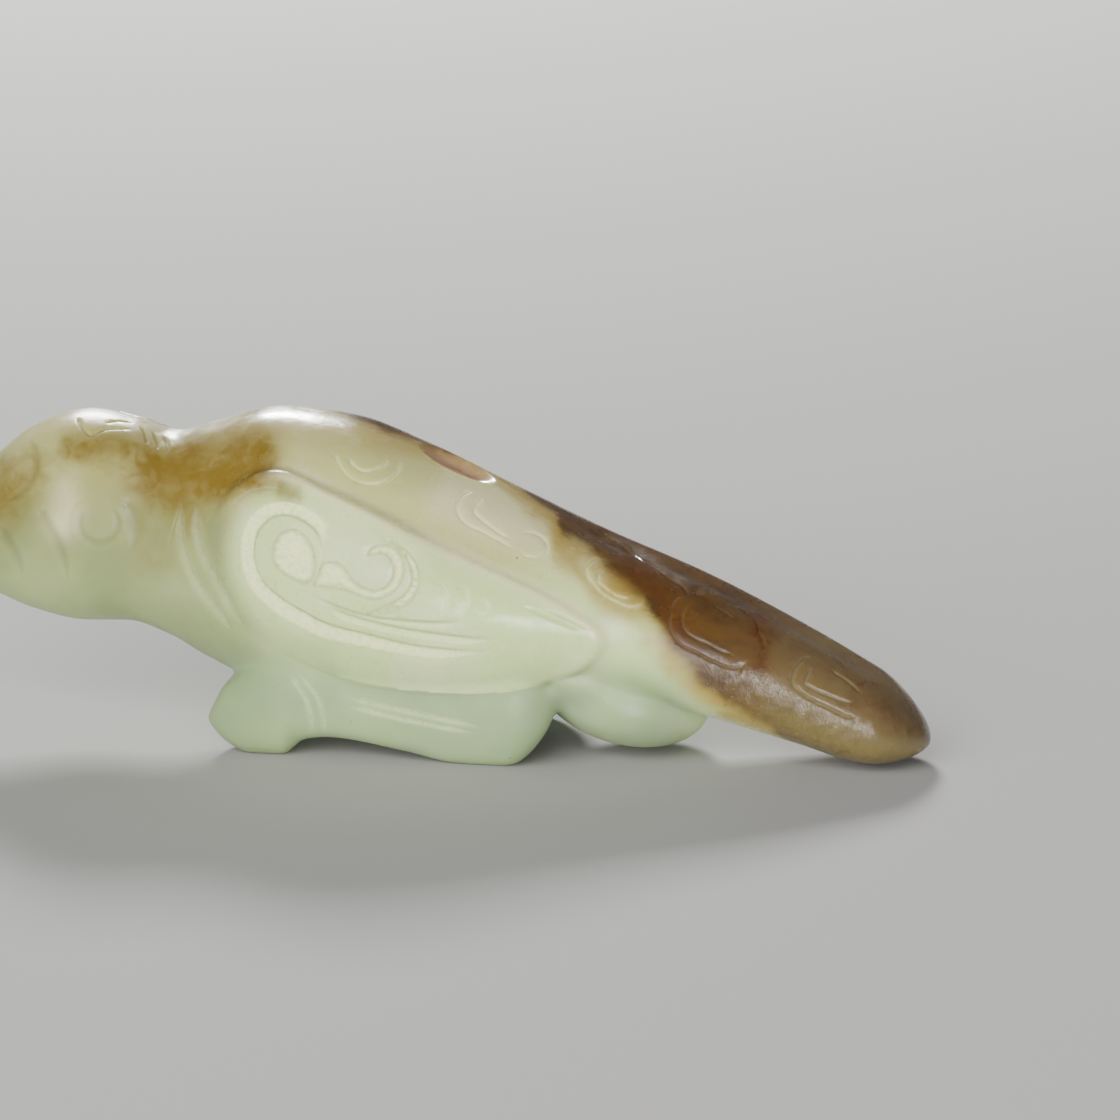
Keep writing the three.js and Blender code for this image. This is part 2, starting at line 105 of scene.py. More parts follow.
def profile(rows, column):
    """A size that changes smoothly along x through the rows, without overshooting any of them."""
    xs = np.array([row[0] for row in rows], float)
    values = np.array([row[column] for row in rows], float)
    slopes = np.diff(values) / np.diff(xs)
    before, after = slopes[:-1], slopes[1:]
    same_way = before * after > 0
    middle = np.where(same_way, 2 * before * after / np.where(same_way, before + after, 1), 0)
    tangents = np.concatenate([slopes[:1], middle, slopes[-1:]])

    def at(x):
        i = np.clip(np.searchsorted(xs, x, side="right") - 1, 0, len(xs) - 2)
        span = xs[i + 1] - xs[i]
        t = (x - xs[i]) / span
        ends = (1 + t * t * (2 * t - 3)) * values[i] + t * t * (3 - 2 * t) * values[i + 1]
        bends = t * (1 - t) ** 2 * tangents[i] + t * t * (t - 1) * tangents[i + 1]
        return ends + span * bends
    return at


def smooth_curve(points, closed=False, spacing=0.12):
    """Close-set points of a smooth curve through the given ones."""
    p = np.array(points, float)
    if closed:
        p = np.vstack([p[-1:], p, p[:2]])
    else:
        p = np.vstack([2 * p[0] - p[1], p, 2 * p[-1] - p[-2]])
    pieces = []
    for a, b, c, d in zip(p, p[1:], p[2:], p[3:]):
        knots = np.cumsum([0] + [max(np.linalg.norm(q - r), 1e-6) ** 0.5 for q, r in ((b, a), (c, b), (d, c))])
        steps = max(2, int(np.linalg.norm(c - b) / spacing))
        t = np.linspace(knots[1], knots[2], steps, endpoint=False)[:, None]

        def between(first, last, i, j):
            return ((knots[j] - t) * first + (t - knots[i]) * last) / (knots[j] - knots[i])
        ab, bc, cd = between(a, b, 0, 1), between(b, c, 1, 2), between(c, d, 2, 3)
        pieces.append(between(between(ab, bc, 0, 2), between(bc, cd, 1, 3), 1, 2))
    if not closed:
        pieces.append(p[-2:-1])
    return np.vstack(pieces)


# %% [markdown]
# ## Trunk, folded legs and the lobe under the tail
# The carver first roughs out the big forms: one long body from beak to tail tip, two folded legs and an
# egg-shaped lobe, with a web of stone between lobe, leg and flank. Each is a closed shell over rings of points. The rings are superellipses, fuller than plain
# ellipses, as on a shape ground from a block. The same stations drive the CAD solid.

# %% Stations of the forms: x, top, underside, half width
trunk_stations = [
    (-31.9, 10.9, 9.0, 0.8), (-30.8, 12.2, 8.9, 1.3), (-29.4, 13.5, 8.8, 1.9), (-28.2, 15.0, 8.4, 2.9),
    (-26.6, 17.0, 8.1, 4.0), (-24.3, 18.8, 7.3, 4.9), (-20.9, 19.8, 6.7, 5.5), (-18.0, 19.4, 6.8, 5.3),
    (-15.4, 18.7, 6.0, 5.1), (-13.0, 19.4, 4.8, 5.9), (-8.8, 20.5, 3.2, 7.0), (-4.5, 20.1, 2.8, 7.5),
    (0.1, 18.5, 2.6, 7.5), (5.0, 16.3, 2.8, 7.1), (11.3, 13.5, 4.6, 6.1), (17.7, 11.1, 2.9, 5.2),
    (24.0, 8.1, 1.25, 4.6), (28.4, 5.7, 0.15, 4.1), (31.9, 3.5, 0.1, 3.4),
]
leg_stations = [
    (-12.4, 2.6, 1.1, 1.3), (-11.2, 4.3, 0.5, 1.8), (-9.5, 5.4, -0.15, 2.3), (-7.6, 6.2, -0.15, 2.3),
    (-6.2, 6.8, 0.9, 2.1), (-4.6, 7.4, 1.1, 2.1), (0.0, 8.2, 0.5, 2.3), (3.6, 8.4, -0.12, 2.4),
    (6.2, 8.0, -0.12, 2.3), (9.5, 6.6, 1.4, 1.9),
]
LEG_OUT = 4.6
TRUNK_WIDEST = 0.4


def sectioned_rings(rows, fullness, widest_at, start_round, end_round, stations, around):
    """Rings of points over superellipse sections along x, whose two ends close in a round."""
    start, end = rows[0][0], rows[-1][0]
    x = (start + end) / 2 - np.cos(np.linspace(0, np.pi, stations)) * (end - start) / 2
    past = np.maximum((start + start_round - x) / start_round, (x - end + end_round) / end_round)
    closing = np.sqrt(1 - np.clip(past, 0, 1) ** 2)
    top, bottom, half_width = (profile(rows, column)(x) for column in (1, 2, 3))
    tall = top - bottom
    angle = np.linspace(0, 2 * np.pi, around, endpoint=False)
    across = np.sign(np.cos(angle)) * np.abs(np.cos(angle)) ** (2 / fullness)
    above = np.sign(np.sin(angle)) * np.abs(np.sin(angle)) ** (2 / fullness)
    half_height = np.where(above > 0, 1 - widest_at, widest_at)
    y = (half_width * closing)[:, None] * across
    z = (bottom + widest_at * tall)[:, None] + (tall * closing)[:, None] * half_height * above
    return np.stack([np.broadcast_to(x[:, None], y.shape), y, z], axis=-1)


def shell_object(name, shells):
    """One mesh object of closed shells, each given as rings whose first and last ring are one point."""
    points, quads, count = [], [], 0
    for rings in shells:
        index = np.arange(rings.shape[0] * rings.shape[1]).reshape(rings.shape[:2]) + count
        turned = np.roll(index, -1, axis=1)
        faces = np.stack([index[:-1], turned[:-1], turned[1:], index[1:]], axis=-1)
        points.append(rings.reshape(-1, 3))
        quads.append(faces.reshape(-1, 4))
        count += index.size
    mesh = bpy.data.meshes.new(name)
    mesh.from_pydata(np.vstack(points).tolist(), [], np.vstack(quads).tolist())
    made = bpy.data.objects.new(name, mesh)
    bpy.context.scene.collection.objects.link(made)
    work = bmesh.new()
    work.from_mesh(mesh)
    bmesh.ops.remove_doubles(work, verts=work.verts, dist=1e-4)
    bmesh.ops.recalc_face_normals(work, faces=work.faces)
    work.to_mesh(mesh)
    work.free()
    return made


def mirrored(points):
    return points * np.array([1, -1, 1])


# %% Shape the shells
trunk = sectioned_rings(trunk_stations, 2.3, TRUNK_WIDEST, 1.1, 3.6, stations=220, around=120)
leg = sectioned_rings(leg_stations, 2.6, 0.5, 1.6, 2.6, stations=70, around=48)
leg = leg - np.array([0, LEG_OUT, 0])


def egg(x, z, length, width, height, tilt):
    """Rings over an egg-shaped lobe that leans by a tilt."""
    turn = np.linspace(0, np.pi, 32)[:, None]
    angle = np.linspace(0, 2 * np.pi, 48, endpoint=False)[None, :]
    along = -np.cos(turn) * length / 2 + 0 * angle
    y = np.sin(turn) * np.cos(angle) * width / 2
    up = np.sin(turn) * np.sin(angle) * height / 2
    lean = math.radians(tilt)
    return np.stack([
        x + along * math.cos(lean) + up * math.sin(lean), y, z - along * math.sin(lean) + up * math.cos(lean),
    ], axis=-1)


lobe = egg(12.7, 3.8, 11.2, 10.6, 6.4, 16)
web = egg(10.6, 5.3, 8.4, 11.8, 3.6, 16)
body = shell_object("body_for_measuring", [trunk])
print("trunk rings:", trunk.shape[0], "leg rings:", leg.shape[0])

# %% [markdown]
# ## The folded wings
# Each wing is a raised panel: the ground around it was cut back by about a millimetre. Its rim falls away in a
# narrow rounded slope, but the front of the shoulder melts into the breast. The panel is laid on the flank by
# shooting rays at the trunk, so it follows the body's curve.

# %% Lay the wing panels on the flank
wing_outline = [
    (-11.8, 13.6), (-10.6, 16.5), (-8.0, 17.9), (-4.1, 16.9), (4.2, 13.3), (10.6, 10.3), (12.7, 8.6),
    (11.7, 6.8), (8.6, 5.4), (3.5, 4.9), (-3.0, 5.4), (-8.4, 7.2), (-11.1, 10.3),
]
WING_MIDDLE = np.array((-1.5, 11.0))
WING_RISE = 0.9
TIP_RISE = 0.4
LOW_DROP = 0.5
RIM_TOP, RIM_FOOT = 0.55, 0.35


def surface_of(made):
    return BVHTree.FromObject(made, bpy.context.evaluated_depsgraph_get())


def shoot(surface, origin, direction):
    """Where a ray meets the surface, and the outward direction there."""
    place, normal, _, _ = surface.ray_cast(Vector(origin), Vector(direction))
    if place is None:
        raise ValueError(f"nothing is hit from {tuple(origin)}")
    return np.array(place), np.array(normal)


def wing_rise(share, angle):
    """The rise of the panel, by the share of the way out to its edge and the direction from its middle."""
    away = abs((angle - math.radians(200) + math.pi) % (2 * math.pi) - math.pi)
    softness = 1 - smoothstep(away, math.radians(28), math.radians(58))
    soft = 1 - smoothstep(share, 0.5, 1)
    towards_tip = smoothstep(share * math.cos(angle), 0.3, 1)
    towards_low = smoothstep(-share * math.sin(angle), 0.2, 1)
    height = (WING_RISE + (TIP_RISE - WING_RISE) * towards_tip) * (1 - LOW_DROP * towards_low)
    return height * (softness * soft + 1 - softness)


def wing_rings(surface):
    edge = smooth_curve(wing_outline, closed=True, spacing=0.25)
    from_edge = edge - WING_MIDDLE
    lengths = np.linalg.norm(from_edge, axis=1)
    levels = [np.full(len(edge), share) for share in (0, 0.3, 0.5, 0.65, 0.8)]
    levels += [1 - inside / lengths for inside in (0.8, 0.55, 0.35, 0.2, 0.05, -0.1, -0.25, -RIM_FOOT)]
    sinks = [0] * len(levels) + [0.3, 0.9, 1.6]
    levels += [levels[-1], levels[-1] * 0.97, levels[0]]
    rings = []
    for shares, sink in zip(levels, sinks):
        ring = []
        for share, length, way in zip(shares, lengths, from_edge):
            x, z = WING_MIDDLE + share * way
            slope = smoothstep((1 - share) * length, -RIM_FOOT, RIM_TOP)
            on_flank, normal = shoot(surface, (x, -30, z), (0, 1, 0))
            rise = wing_rise(min(share, 1), math.atan2(way[1], way[0])) * slope
            ring.append(on_flank + normal * (-sink if sink else rise))
        rings.append(ring)
    return np.array(rings)


wing = wing_rings(surface_of(body))
print("wing panel points:", wing.shape[0] * wing.shape[1])

# %% [markdown]
# ## One blank from all the shells
# The shells overlap, as clay rolls would. A voxel Remesh melts them into one closed skin of even small quads,
# which is what fine carving needs, and a light Smooth rounds the joints as the polishing leather does.
# Booleans would keep long thin triangles at the joints, and those show in a polished surface.

# %% Melt the shells together
VOXEL = 0.08
blank = shell_object("blank", [trunk, leg, mirrored(leg), lobe, web, wing, mirrored(wing)])
melt = blank.modifiers.new("melt", "REMESH")
melt.mode = "VOXEL"
melt.voxel_size = VOXEL
melt.use_smooth_shade = True
polish = blank.modifiers.new("polish", "SMOOTH")
polish.factor = 0.5
polish.iterations = 16


def plain_mesh(made, name):
    """The evaluated object as a plain mesh object, in place of the one with modifiers."""
    seen = made.evaluated_get(bpy.context.evaluated_depsgraph_get())
    mesh = bpy.data.meshes.new_from_object(seen)
    mesh.name = name
    plain = bpy.data.objects.new(name, mesh)
    bpy.context.scene.collection.objects.link(plain)
    bpy.data.objects.remove(made)
    return plain


blank = plain_mesh(blank, "polished_blank")
bpy.data.objects.remove(body)
print("blank:", len(blank.data.polygons), "faces")

# %% [markdown]
# ## Soft joints
# Behind the wing tip the leg, the lobe and the flank run into each other without a crease, and so does the top
# of the foot with the belly. Each point there sinks towards the middle of its neighbours, again and again,
# which is what long polishing does to an inner corner. The wing's own rim is rounded only a little, and where
# its lower edge lies on the leg the step is polished down to a gentle slope.

# %% Soften the joints
# Soft places of the side view: x, z, how far they reach and how soft they are
soft_joints = [(9.6, 5.0, 2.1, 1.0), (12.0, 5.9, 2.1, 1.0), (14.0, 5.5, 1.4, 0.8), (-10.4, 5.6, 1.2, 0.7),
               (-8.4, 6.3, 1.3, 0.7), (-5.6, 7.0, 1.3, 0.7)]
SOFTENING_ROUNDS = 500
RIM = {"reach": 0.6, "rounds": 24}
LOWER_EDGE = {"reach": 0.9, "rounds": 260}
wing_on_leg = [(-6.6, 6.7), (-4.5, 5.7), (-2.2, 5.1), (0.5, 4.8), (2.8, 4.7), (5.5, 4.9), (7.6, 5.2)]


def points_of(mesh, what="co"):
    flat = np.empty(len(mesh.vertices) * 3, np.float32)
    mesh.vertices.foreach_get(what, flat)
    return flat.reshape(-1, 3).astype(float)


def put_points(mesh, points):
    mesh.vertices.foreach_set("co", points.astype(np.float32).ravel())
    mesh.update()


def near(line, x, z, spacing=0.25):
    """How far places of a flat view are from a line."""
    return np.min([np.hypot(x - p, z - q) for p, q in smooth_curve(line, spacing=spacing)], axis=0)


def soften(mesh, weight, rounds):
    """Move points towards the middle of their neighbours, as far as their weight says."""
    places = points_of(mesh)
    ends = np.empty(len(mesh.edges) * 2, np.int32)
    mesh.edges.foreach_get("vertices", ends)
    ends = ends.reshape(-1, 2)
    ends = ends[(weight[ends] > 0).any(axis=1)]
    used, ends = np.unique(ends, return_inverse=True)
    one, other = ends.reshape(-1, 2).T
    count = np.bincount(ends.ravel())
    local, share = places[used], 0.5 * weight[used][:, None]
    for _ in range(rounds):
        sums = [np.bincount(one, part[other], len(used)) + np.bincount(other, part[one], len(used))
                for part in local.T]
        local += share * (np.array(sums).T / count[:, None] - local)
    places[used] = local
    put_points(mesh, places)


x, y, z = points_of(blank.data).T
softness = sum(soft * np.exp(-((x - p) ** 2 + (z - q) ** 2) / reach ** 2) for p, q, reach, soft in soft_joints)
softness = np.minimum(np.where(softness > 0.03, softness, 0), 1)
rim = np.array(wing_outline + wing_outline[:1])
flank = np.flatnonzero(np.abs(y) > 3)
from_rim, from_lower_edge = np.full(len(x), 99.0), np.full(len(x), 99.0)
from_rim[flank] = near(rim, x[flank], z[flank])
from_lower_edge[flank] = near(wing_on_leg, x[flank], z[flank])
soften(blank.data, softness * smoothstep(from_rim, 0.2, 0.9), SOFTENING_ROUNDS)
for distance, how in ((from_rim, RIM), (from_lower_edge, LOWER_EDGE)):
    weight = np.exp(-(distance / how["reach"]) ** 2)
    soften(blank.data, np.where(weight > 0.03, weight, 0), how["rounds"])
print("softened points:", int((softness > 0).sum()), int((from_rim < 1).sum()))

# %% [markdown]
# ## Small changes of the big forms
# A shallow valley runs down the lower back and tail, an oval hollow is sunk in the middle of the back, and the
# soles of the feet and heels are ground flat, so that the bird stands. The nape, the crack in the skin and the
# lower side of the tail kept a lumpy surface. All this moves the blank's own points, as a grinding wheel does.

# %% Grind the valley, the hollow and the soles
VALLEY = {"from": 9, "to": 30, "run_out": 3, "depth": 0.35, "half_width": 1.3}
HOLLOW = {"x": 2.3, "y": 0.3, "length": 4.7, "width": 3.3, "depth": 0.75}


def round_the_trunk(x, y, z):
    """The angle round the trunk in degrees, 0 on the ridge and positive on the near flank, and the half width."""
    along = np.clip(x, trunk_stations[0][0], trunk_stations[-1][0])
    top, bottom, half_width = (profile(trunk_stations, column)(along) for column in (1, 2, 3))
    rise = z - bottom - TRUNK_WIDEST * (top - bottom)
    half_height = np.where(rise > 0, 1 - TRUNK_WIDEST, TRUNK_WIDEST) * (top - bottom)
    return np.degrees(np.arctan2(-y / half_width, rise / half_height)), half_width


def in_hollow(x, y):
    """0 in the middle of the hollow and 1 on its rim."""
    return ((x - HOLLOW["x"]) / HOLLOW["length"] * 2) ** 2 + ((y - HOLLOW["y"]) / HOLLOW["width"] * 2) ** 2


places = points_of(blank.data)
x, y, z = places.T
on_back = np.abs(round_the_trunk(x, y, z)[0]) < 90
along = smoothstep(x, VALLEY["from"], VALLEY["from"] + VALLEY["run_out"])
along = along * (1 - smoothstep(x, VALLEY["to"] - VALLEY["run_out"], VALLEY["to"]))
sunk = VALLEY["depth"] * along * np.exp(-(y / VALLEY["half_width"]) ** 2)
sunk += HOLLOW["depth"] * (1 - smoothstep(in_hollow(x, y), 0.1, 1.15))
places[:, 2] = np.maximum(np.where(on_back, z - sunk, z), 0)
put_points(blank.data, places)
print("points on the soles:", int((places[:, 2] == 0).sum()))

# %% Leave some of it lumpy
# Lumpy places, as a line, how far they reach, the size of a lump and its height. The first two lines are in the
# side view and the last one is seen from above
nape_lumps = ([(-17.4, 18.2), (-15.4, 17.9), (-13.8, 18.3)], 0.8, 0.75, 0.07)
tail_lumps = ([(19.4, 6.0), (20.8, 5.4), (22.0, 5.0), (23.2, 4.5), (24.5, 3.9), (26.2, 3.2), (27.8, 2.6)], 1.2, 0.6, 0.04)
crack_lumps = ([(11.5, 0.8), (13.5, 0.0), (15.5, -1.4), (17.2, -2.2), (19.5, -1.8), (22.0, -2.6)], 1.1, 0.8, 0.1)


def roughen(mesh, distance, reach, size, height):
    """Raise and sink the skin in lumps, less and less with the distance from a line."""
    places, normals = points_of(mesh), points_of(mesh, "normal")
    lumpy = np.flatnonzero(distance < 2 * reach)
    for i, weight in zip(lumpy, np.exp(-(distance[lumpy] / reach) ** 2)):
        places[i] += normals[i] * height * weight * lumps.noise(Vector(places[i] / size))
    put_points(mesh, places)
    return len(lumpy)


moved = [roughen(blank.data, near(line, x, z, spacing=0.6), *rest) for line, *rest in (nape_lumps, tail_lumps)]
moved.append(roughen(blank.data, np.where(on_back, near(crack_lumps[0], x, y, spacing=0.6), 9), *crack_lumps[1:]))
print("lumpy points:", moved)

# %% [markdown]
# ## A cutting wheel in Geometry Nodes
# Every line on the bird was cut with a small wheel fed with abrasive sand. One tree stands for that wheel: it
# sinks the surface near a drawn line. Its inputs are the drawing, the width, the depth and the bevel of the
# cut. With Slant at 1 the cut is one-sided, the old way of carving jade birds: a broad slope runs down to a
# steep wall under the line. Each point of a drawing says how hard the wheel is pressed, so lines run out.
# The tree also marks where the cut is matt, and its crease, where the material paints shade.

# %% Build the tree of the cutting wheel
def add_node(tree, kind, inputs=None, **settings):
    """Add a node. Inputs are sockets, nodes (their first output) or plain values, by name or by number."""
    made = tree.nodes.new(kind)
    for name, value in settings.items():
        setattr(made, name, value)
    for key, value in (inputs or {}).items():
        if isinstance(value, bpy.types.Node):
            value = value.outputs[0]
        if isinstance(value, bpy.types.NodeSocket):
            tree.links.new(value, made.inputs[key])
        else:
            made.inputs[key].default_value = value
    return made


def cutting_wheel():
    tree = bpy.data.node_groups.new("cutting_wheel", "GeometryNodeTree")
    tree.interface.new_socket("Geometry", in_out="OUTPUT", socket_type="NodeSocketGeometry")
    tree.interface.new_socket("Geometry", in_out="INPUT", socket_type="NodeSocketGeometry")
    tree.interface.new_socket("Drawing", in_out="INPUT", socket_type="NodeSocketObject")
    for name in ("Width", "Depth", "Bevel", "Slant", "Matt", "Crease"):
        tree.interface.new_socket(name, in_out="INPUT", socket_type="NodeSocketFloat")
    tree.interface.new_socket("Stone", in_out="INPUT", socket_type="NodeSocketMaterial")

    def math_of(operation, *values):
        return add_node(tree, "ShaderNodeMath", dict(enumerate(values)), operation=operation)

    given = tree.nodes.new("NodeGroupInput")
    lines = add_node(tree, "GeometryNodeObjectInfo", {"Object": given.outputs["Drawing"]})
    lines = lines.outputs["Geometry"]
    near = add_node(tree, "GeometryNodeProximity", {0: lines}, target_element="EDGES")
    index = add_node(tree, "GeometryNodeSampleNearest", {"Geometry": lines}, domain="POINT")
    drawn = {}
    for name, kind in (("press", "FLOAT"), ("inward", "FLOAT_VECTOR")):
        value = add_node(tree, "GeometryNodeInputNamedAttribute", {"Name": name}, data_type=kind)
        drawn[name] = add_node(tree, "GeometryNodeSampleIndex", {
            "Geometry": lines, "Value": value, "Index": index,
        }, data_type=kind, domain="POINT")
    press = drawn["press"]
    place = add_node(tree, "GeometryNodeInputPosition")
    off = add_node(tree, "ShaderNodeVectorMath", {0: place, 1: near.outputs["Position"]}, operation="SUBTRACT")
    across = add_node(tree, "ShaderNodeVectorMath", {0: off, 1: drawn["inward"]}, operation="DOT_PRODUCT")
    across = across.outputs["Value"]

    half = math_of("MULTIPLY", math_of("MULTIPLY", given.outputs["Width"], press), 0.5)
    bevel = math_of("MINIMUM", given.outputs["Bevel"], half)
    flat = math_of("SUBTRACT", half, bevel)
    even = add_node(tree, "ShaderNodeMapRange", {
        "Value": near.outputs["Distance"], "From Min": half, "From Max": flat,
    }, interpolation_type="SMOOTHSTEP")
    broad = math_of("ADD", math_of("MULTIPLY", half, 2), 0.0001)
    slope = add_node(tree, "ShaderNodeMapRange", {
        "Value": across, "From Min": math_of("MULTIPLY", broad, -1), "From Max": 0.0,
    }, interpolation_type="SMOOTHERSTEP")
    wall = add_node(tree, "ShaderNodeMapRange", {
        "Value": across, "From Min": given.outputs["Bevel"], "From Max": 0.0,
    }, interpolation_type="SMOOTHSTEP")
    slanted = math_of("MULTIPLY", slope, wall)
    within = math_of("LESS_THAN", near.outputs["Distance"], math_of("MULTIPLY", broad, 1.05))
    slanted = math_of("MULTIPLY", slanted, within)
    cut = add_node(tree, "ShaderNodeMix", {0: given.outputs["Slant"], 2: even, 3: slanted}, data_type="FLOAT")
    depth = math_of("MULTIPLY", math_of("MULTIPLY", cut, given.outputs["Depth"]), press)
    normal = add_node(tree, "GeometryNodeInputNormal")
    down = add_node(tree, "ShaderNodeVectorMath", {0: normal, "Scale": math_of("MULTIPLY", depth, -1)},
                    operation="SCALE")
    cut_skin = add_node(tree, "GeometryNodeSetPosition", {"Geometry": given.outputs["Geometry"], "Offset": down})

    band = add_node(tree, "ShaderNodeMapRange", {
        "Value": across, "From Min": math_of("MULTIPLY", broad, -1), "From Max": math_of("MULTIPLY", broad, -0.8),
    }, interpolation_type="SMOOTHSTEP")
    band = math_of("MULTIPLY", math_of("MULTIPLY", band, wall), within)
    lip = add_node(tree, "ShaderNodeMapRange", {
        "Value": math_of("ABSOLUTE", across), "From Min": 0.17, "From Max": 0.03,
    }, interpolation_type="SMOOTHSTEP")
    marked = cut_skin
    for name, amount, slanted_mark in (("matt", "Matt", band), ("crease", "Crease", math_of("MULTIPLY", lip, within))):
        mark = add_node(tree, "ShaderNodeMix", {0: given.outputs["Slant"], 2: even, 3: slanted_mark},
                        data_type="FLOAT")
        mark = math_of("MULTIPLY", math_of("MULTIPLY", mark, given.outputs[amount]), math_of("MINIMUM", press, 1))
        before = add_node(tree, "GeometryNodeInputNamedAttribute", {"Name": name}, data_type="FLOAT")
        marked = add_node(tree, "GeometryNodeStoreNamedAttribute", {
            "Geometry": marked, "Name": name, "Value": math_of("MAXIMUM", mark, before),
        }, data_type="FLOAT", domain="POINT")
    real = add_node(tree, "GeometryNodeRealizeInstances", {"Geometry": marked})
    stone = add_node(tree, "GeometryNodeSetMaterial", {"Geometry": real, "Material": given.outputs["Stone"]})
    add_node(tree, "NodeGroupOutput", {"Geometry": stone})
    return tree


wheel = cutting_wheel()
nephrite = bpy.data.materials.new("polished_nephrite")
print("cutting wheel:", len(wheel.nodes), "nodes")

# %% [markdown]
# ## How lines get onto the surface
# Lines on the flanks are drawn in the side view and shot at the skin from the side. Lines on the crown and
# nape are drawn from above. Scrolls that curl over the back are drawn on a small flat card held against the
# skin, and pressed onto it. Every stroke but the cracks is then mirrored to the far flank.

# %% Put strokes on the skin
skin = surface_of(blank)


def from_side(points, closed=False):
    curve = smooth_curve(points, closed)
    return [shoot(skin, (x, -30, z), (0, 1, 0)) for x, z in curve]


def from_above(points):
    return [shoot(skin, (x, y, 40), (0, 0, -1)) for x, y in smooth_curve(points)]


def card(x, z, turn=0.0):
    """A function that lays a flat drawing in mm on the skin, round a place of the side view."""
    centre, normal = shoot(skin, (x, -30, z), (0, 1, 0))
    level = np.array((1.0, 0.0, 0.0)) - normal[0] * normal
    level /= np.linalg.norm(level)
    up = np.cross(level, -normal)
    up *= math.copysign(1, up[2])
    cosine, sine = math.cos(math.radians(turn)), math.sin(math.radians(turn))

    def lay(points, closed=False):
        laid = []
        for p, q in smooth_curve(points, closed):
            spot = centre + (p * cosine - q * sine) * level + (p * sine + q * cosine) * up
            laid.append(shoot(skin, spot + 4 * normal, -normal))
        return laid
    return lay


def stroke(laid, closed=False, run_in=0.6, run_out=0.6, press=1.0):
    """A stroke's points, the directions to its inner side and how hard the wheel is pressed along it."""
    points = np.array([place for place, _ in laid])
    normals = np.array([normal for _, normal in laid])
    steps = np.linalg.norm(np.diff(points, axis=0), axis=1)
    run = np.concatenate([[0], np.cumsum(steps)])
    if closed:
        tangents = np.roll(points, -1, axis=0) - np.roll(points, 1, axis=0)
        pressed = np.full(len(points), press)
    else:
        tangents = np.gradient(points, axis=0)
        ends = smoothstep(run, -0.05, run_in) * smoothstep(run[-1] - run, -0.05, run_out)
        press = np.atleast_1d(press)
        pressed = ends * np.interp(run / run[-1], np.linspace(0, 1, len(press)), press)
    inward = np.cross(normals, tangents)
    inward /= np.linalg.norm(inward, axis=1)[:, None]
    return points, inward, pressed, closed


def drawing(name, strokes, flips):
    """A mesh of edges that holds strokes, and their mirror images where flips holds -1 as well as 1."""
    points, inward, press, edges = [], [], [], []
    count = 0
    for flip in flips:
        for places, inner, pressed, closed in strokes:
            points.append(places * (1, flip, 1))
            inward.append(inner * (1, flip, 1))
            press.append(pressed)
            last = count + len(places) - 1
            edges += [(i, i + 1) for i in range(count, last)]
            if closed:
                edges.append((last, count))
            count = last + 1
    mesh = bpy.data.meshes.new(name)
    mesh.from_pydata(np.vstack(points).tolist(), edges, [])
    mesh.attributes.new("press", "FLOAT", "POINT").data.foreach_set("value", np.concatenate(press))
    mesh.attributes.new("inward", "FLOAT_VECTOR", "POINT").data.foreach_set("vector", np.vstack(inward).ravel())
    made = bpy.data.objects.new(name, mesh)
    bpy.context.scene.collection.objects.link(made)
    return made


def circle(radius, start=0, end=360, steps=16):
    """Part of a circle about the origin, from one angle to another in degrees."""
    turns = [math.radians(start + (end - start) * i / steps) for i in range(steps + (abs(end - start) < 360))]
    return [(radius * math.cos(turn), radius * math.sin(turn)) for turn in turns]


# %% [markdown]
# ## The drawing of the wing
# A volute holds a leaf, and its outer band runs on as the longest feather. A small curl with a button stands
# behind it, then come three short coverts and three long feathers. These are one-sided cuts: each line has a
# steep wall on its inner side and a broad matt slope outside it, and the slopes catch the light as pale bands.

# %% Draw the wing
volute = [stroke(from_side([
    (-4.3, 13.7), (-4.45, 14.3), (-4.95, 15.05), (-6.3, 15.7), (-7.5, 15.6), (-8.35, 14.85), (-8.75, 13.75),
    (-8.72, 12.75), (-8.25, 11.65), (-6.95, 10.65), (-5.5, 9.95), (-4.15, 9.3), (-1.6, 8.7), (1.1, 8.2),
    (3.9, 7.95), (6.7, 7.85),
]), run_in=1.6, run_out=4.0, press=[0.9, 0.95, 1.15, 1.2, 1.0, 0.8, 0.6])]
leaf = [stroke(from_side([
    (-6.2, 14.9), (-5.3, 14.4), (-4.85, 13.5), (-4.8, 12.5), (-5.3, 11.75), (-6.3, 12.05), (-7.2, 12.65),
    (-7.5, 13.4), (-7.05, 14.5),
], closed=True), closed=True)]
comma = [stroke(from_side([
    (-4.3, 12.95), (-3.25, 13.0), (-2.45, 12.1), (-1.65, 11.6), (-0.85, 11.5), (-0.15, 11.95), (0.1, 12.7),
    (-0.1, 13.35), (-0.6, 13.75), (-1.5, 13.65), (-1.2, 14.1), (-0.4, 14.2), (0.2, 13.9), (0.62, 13.3),
    (0.65, 12.4), (0.1, 11.5), (-0.85, 11.0), (-1.65, 11.05), (-2.8, 11.45), (-4.0, 11.6), (-4.8, 11.7),
    (-4.45, 12.3),
], closed=True), closed=True)]
crescent = [stroke(from_side([
    (-0.15, 14.45), (0.75, 13.9), (1.45, 13.1), (1.65, 12.05), (1.2, 11.0), (0.1, 10.3), (-1.5, 10.0), (-0.25, 10.6),
    (0.75, 11.25), (1.2, 12.05), (1.1, 12.95), (0.6, 13.7),
], closed=True), closed=True)]
feathers = [
    stroke(from_side([(-5.2, 11.2), (-3.75, 10.55), (-1.65, 9.95), (0.7, 9.75), (2.95, 9.7), (4.6, 9.8)]),
           run_in=2.0, run_out=2.0),
    stroke(from_side([(-4.3, 10.5), (-2.0, 9.75), (0.65, 9.25), (2.95, 8.95), (4.9, 8.75), (6.9, 8.6)]), run_in=1.5,
           run_out=3.0),
]
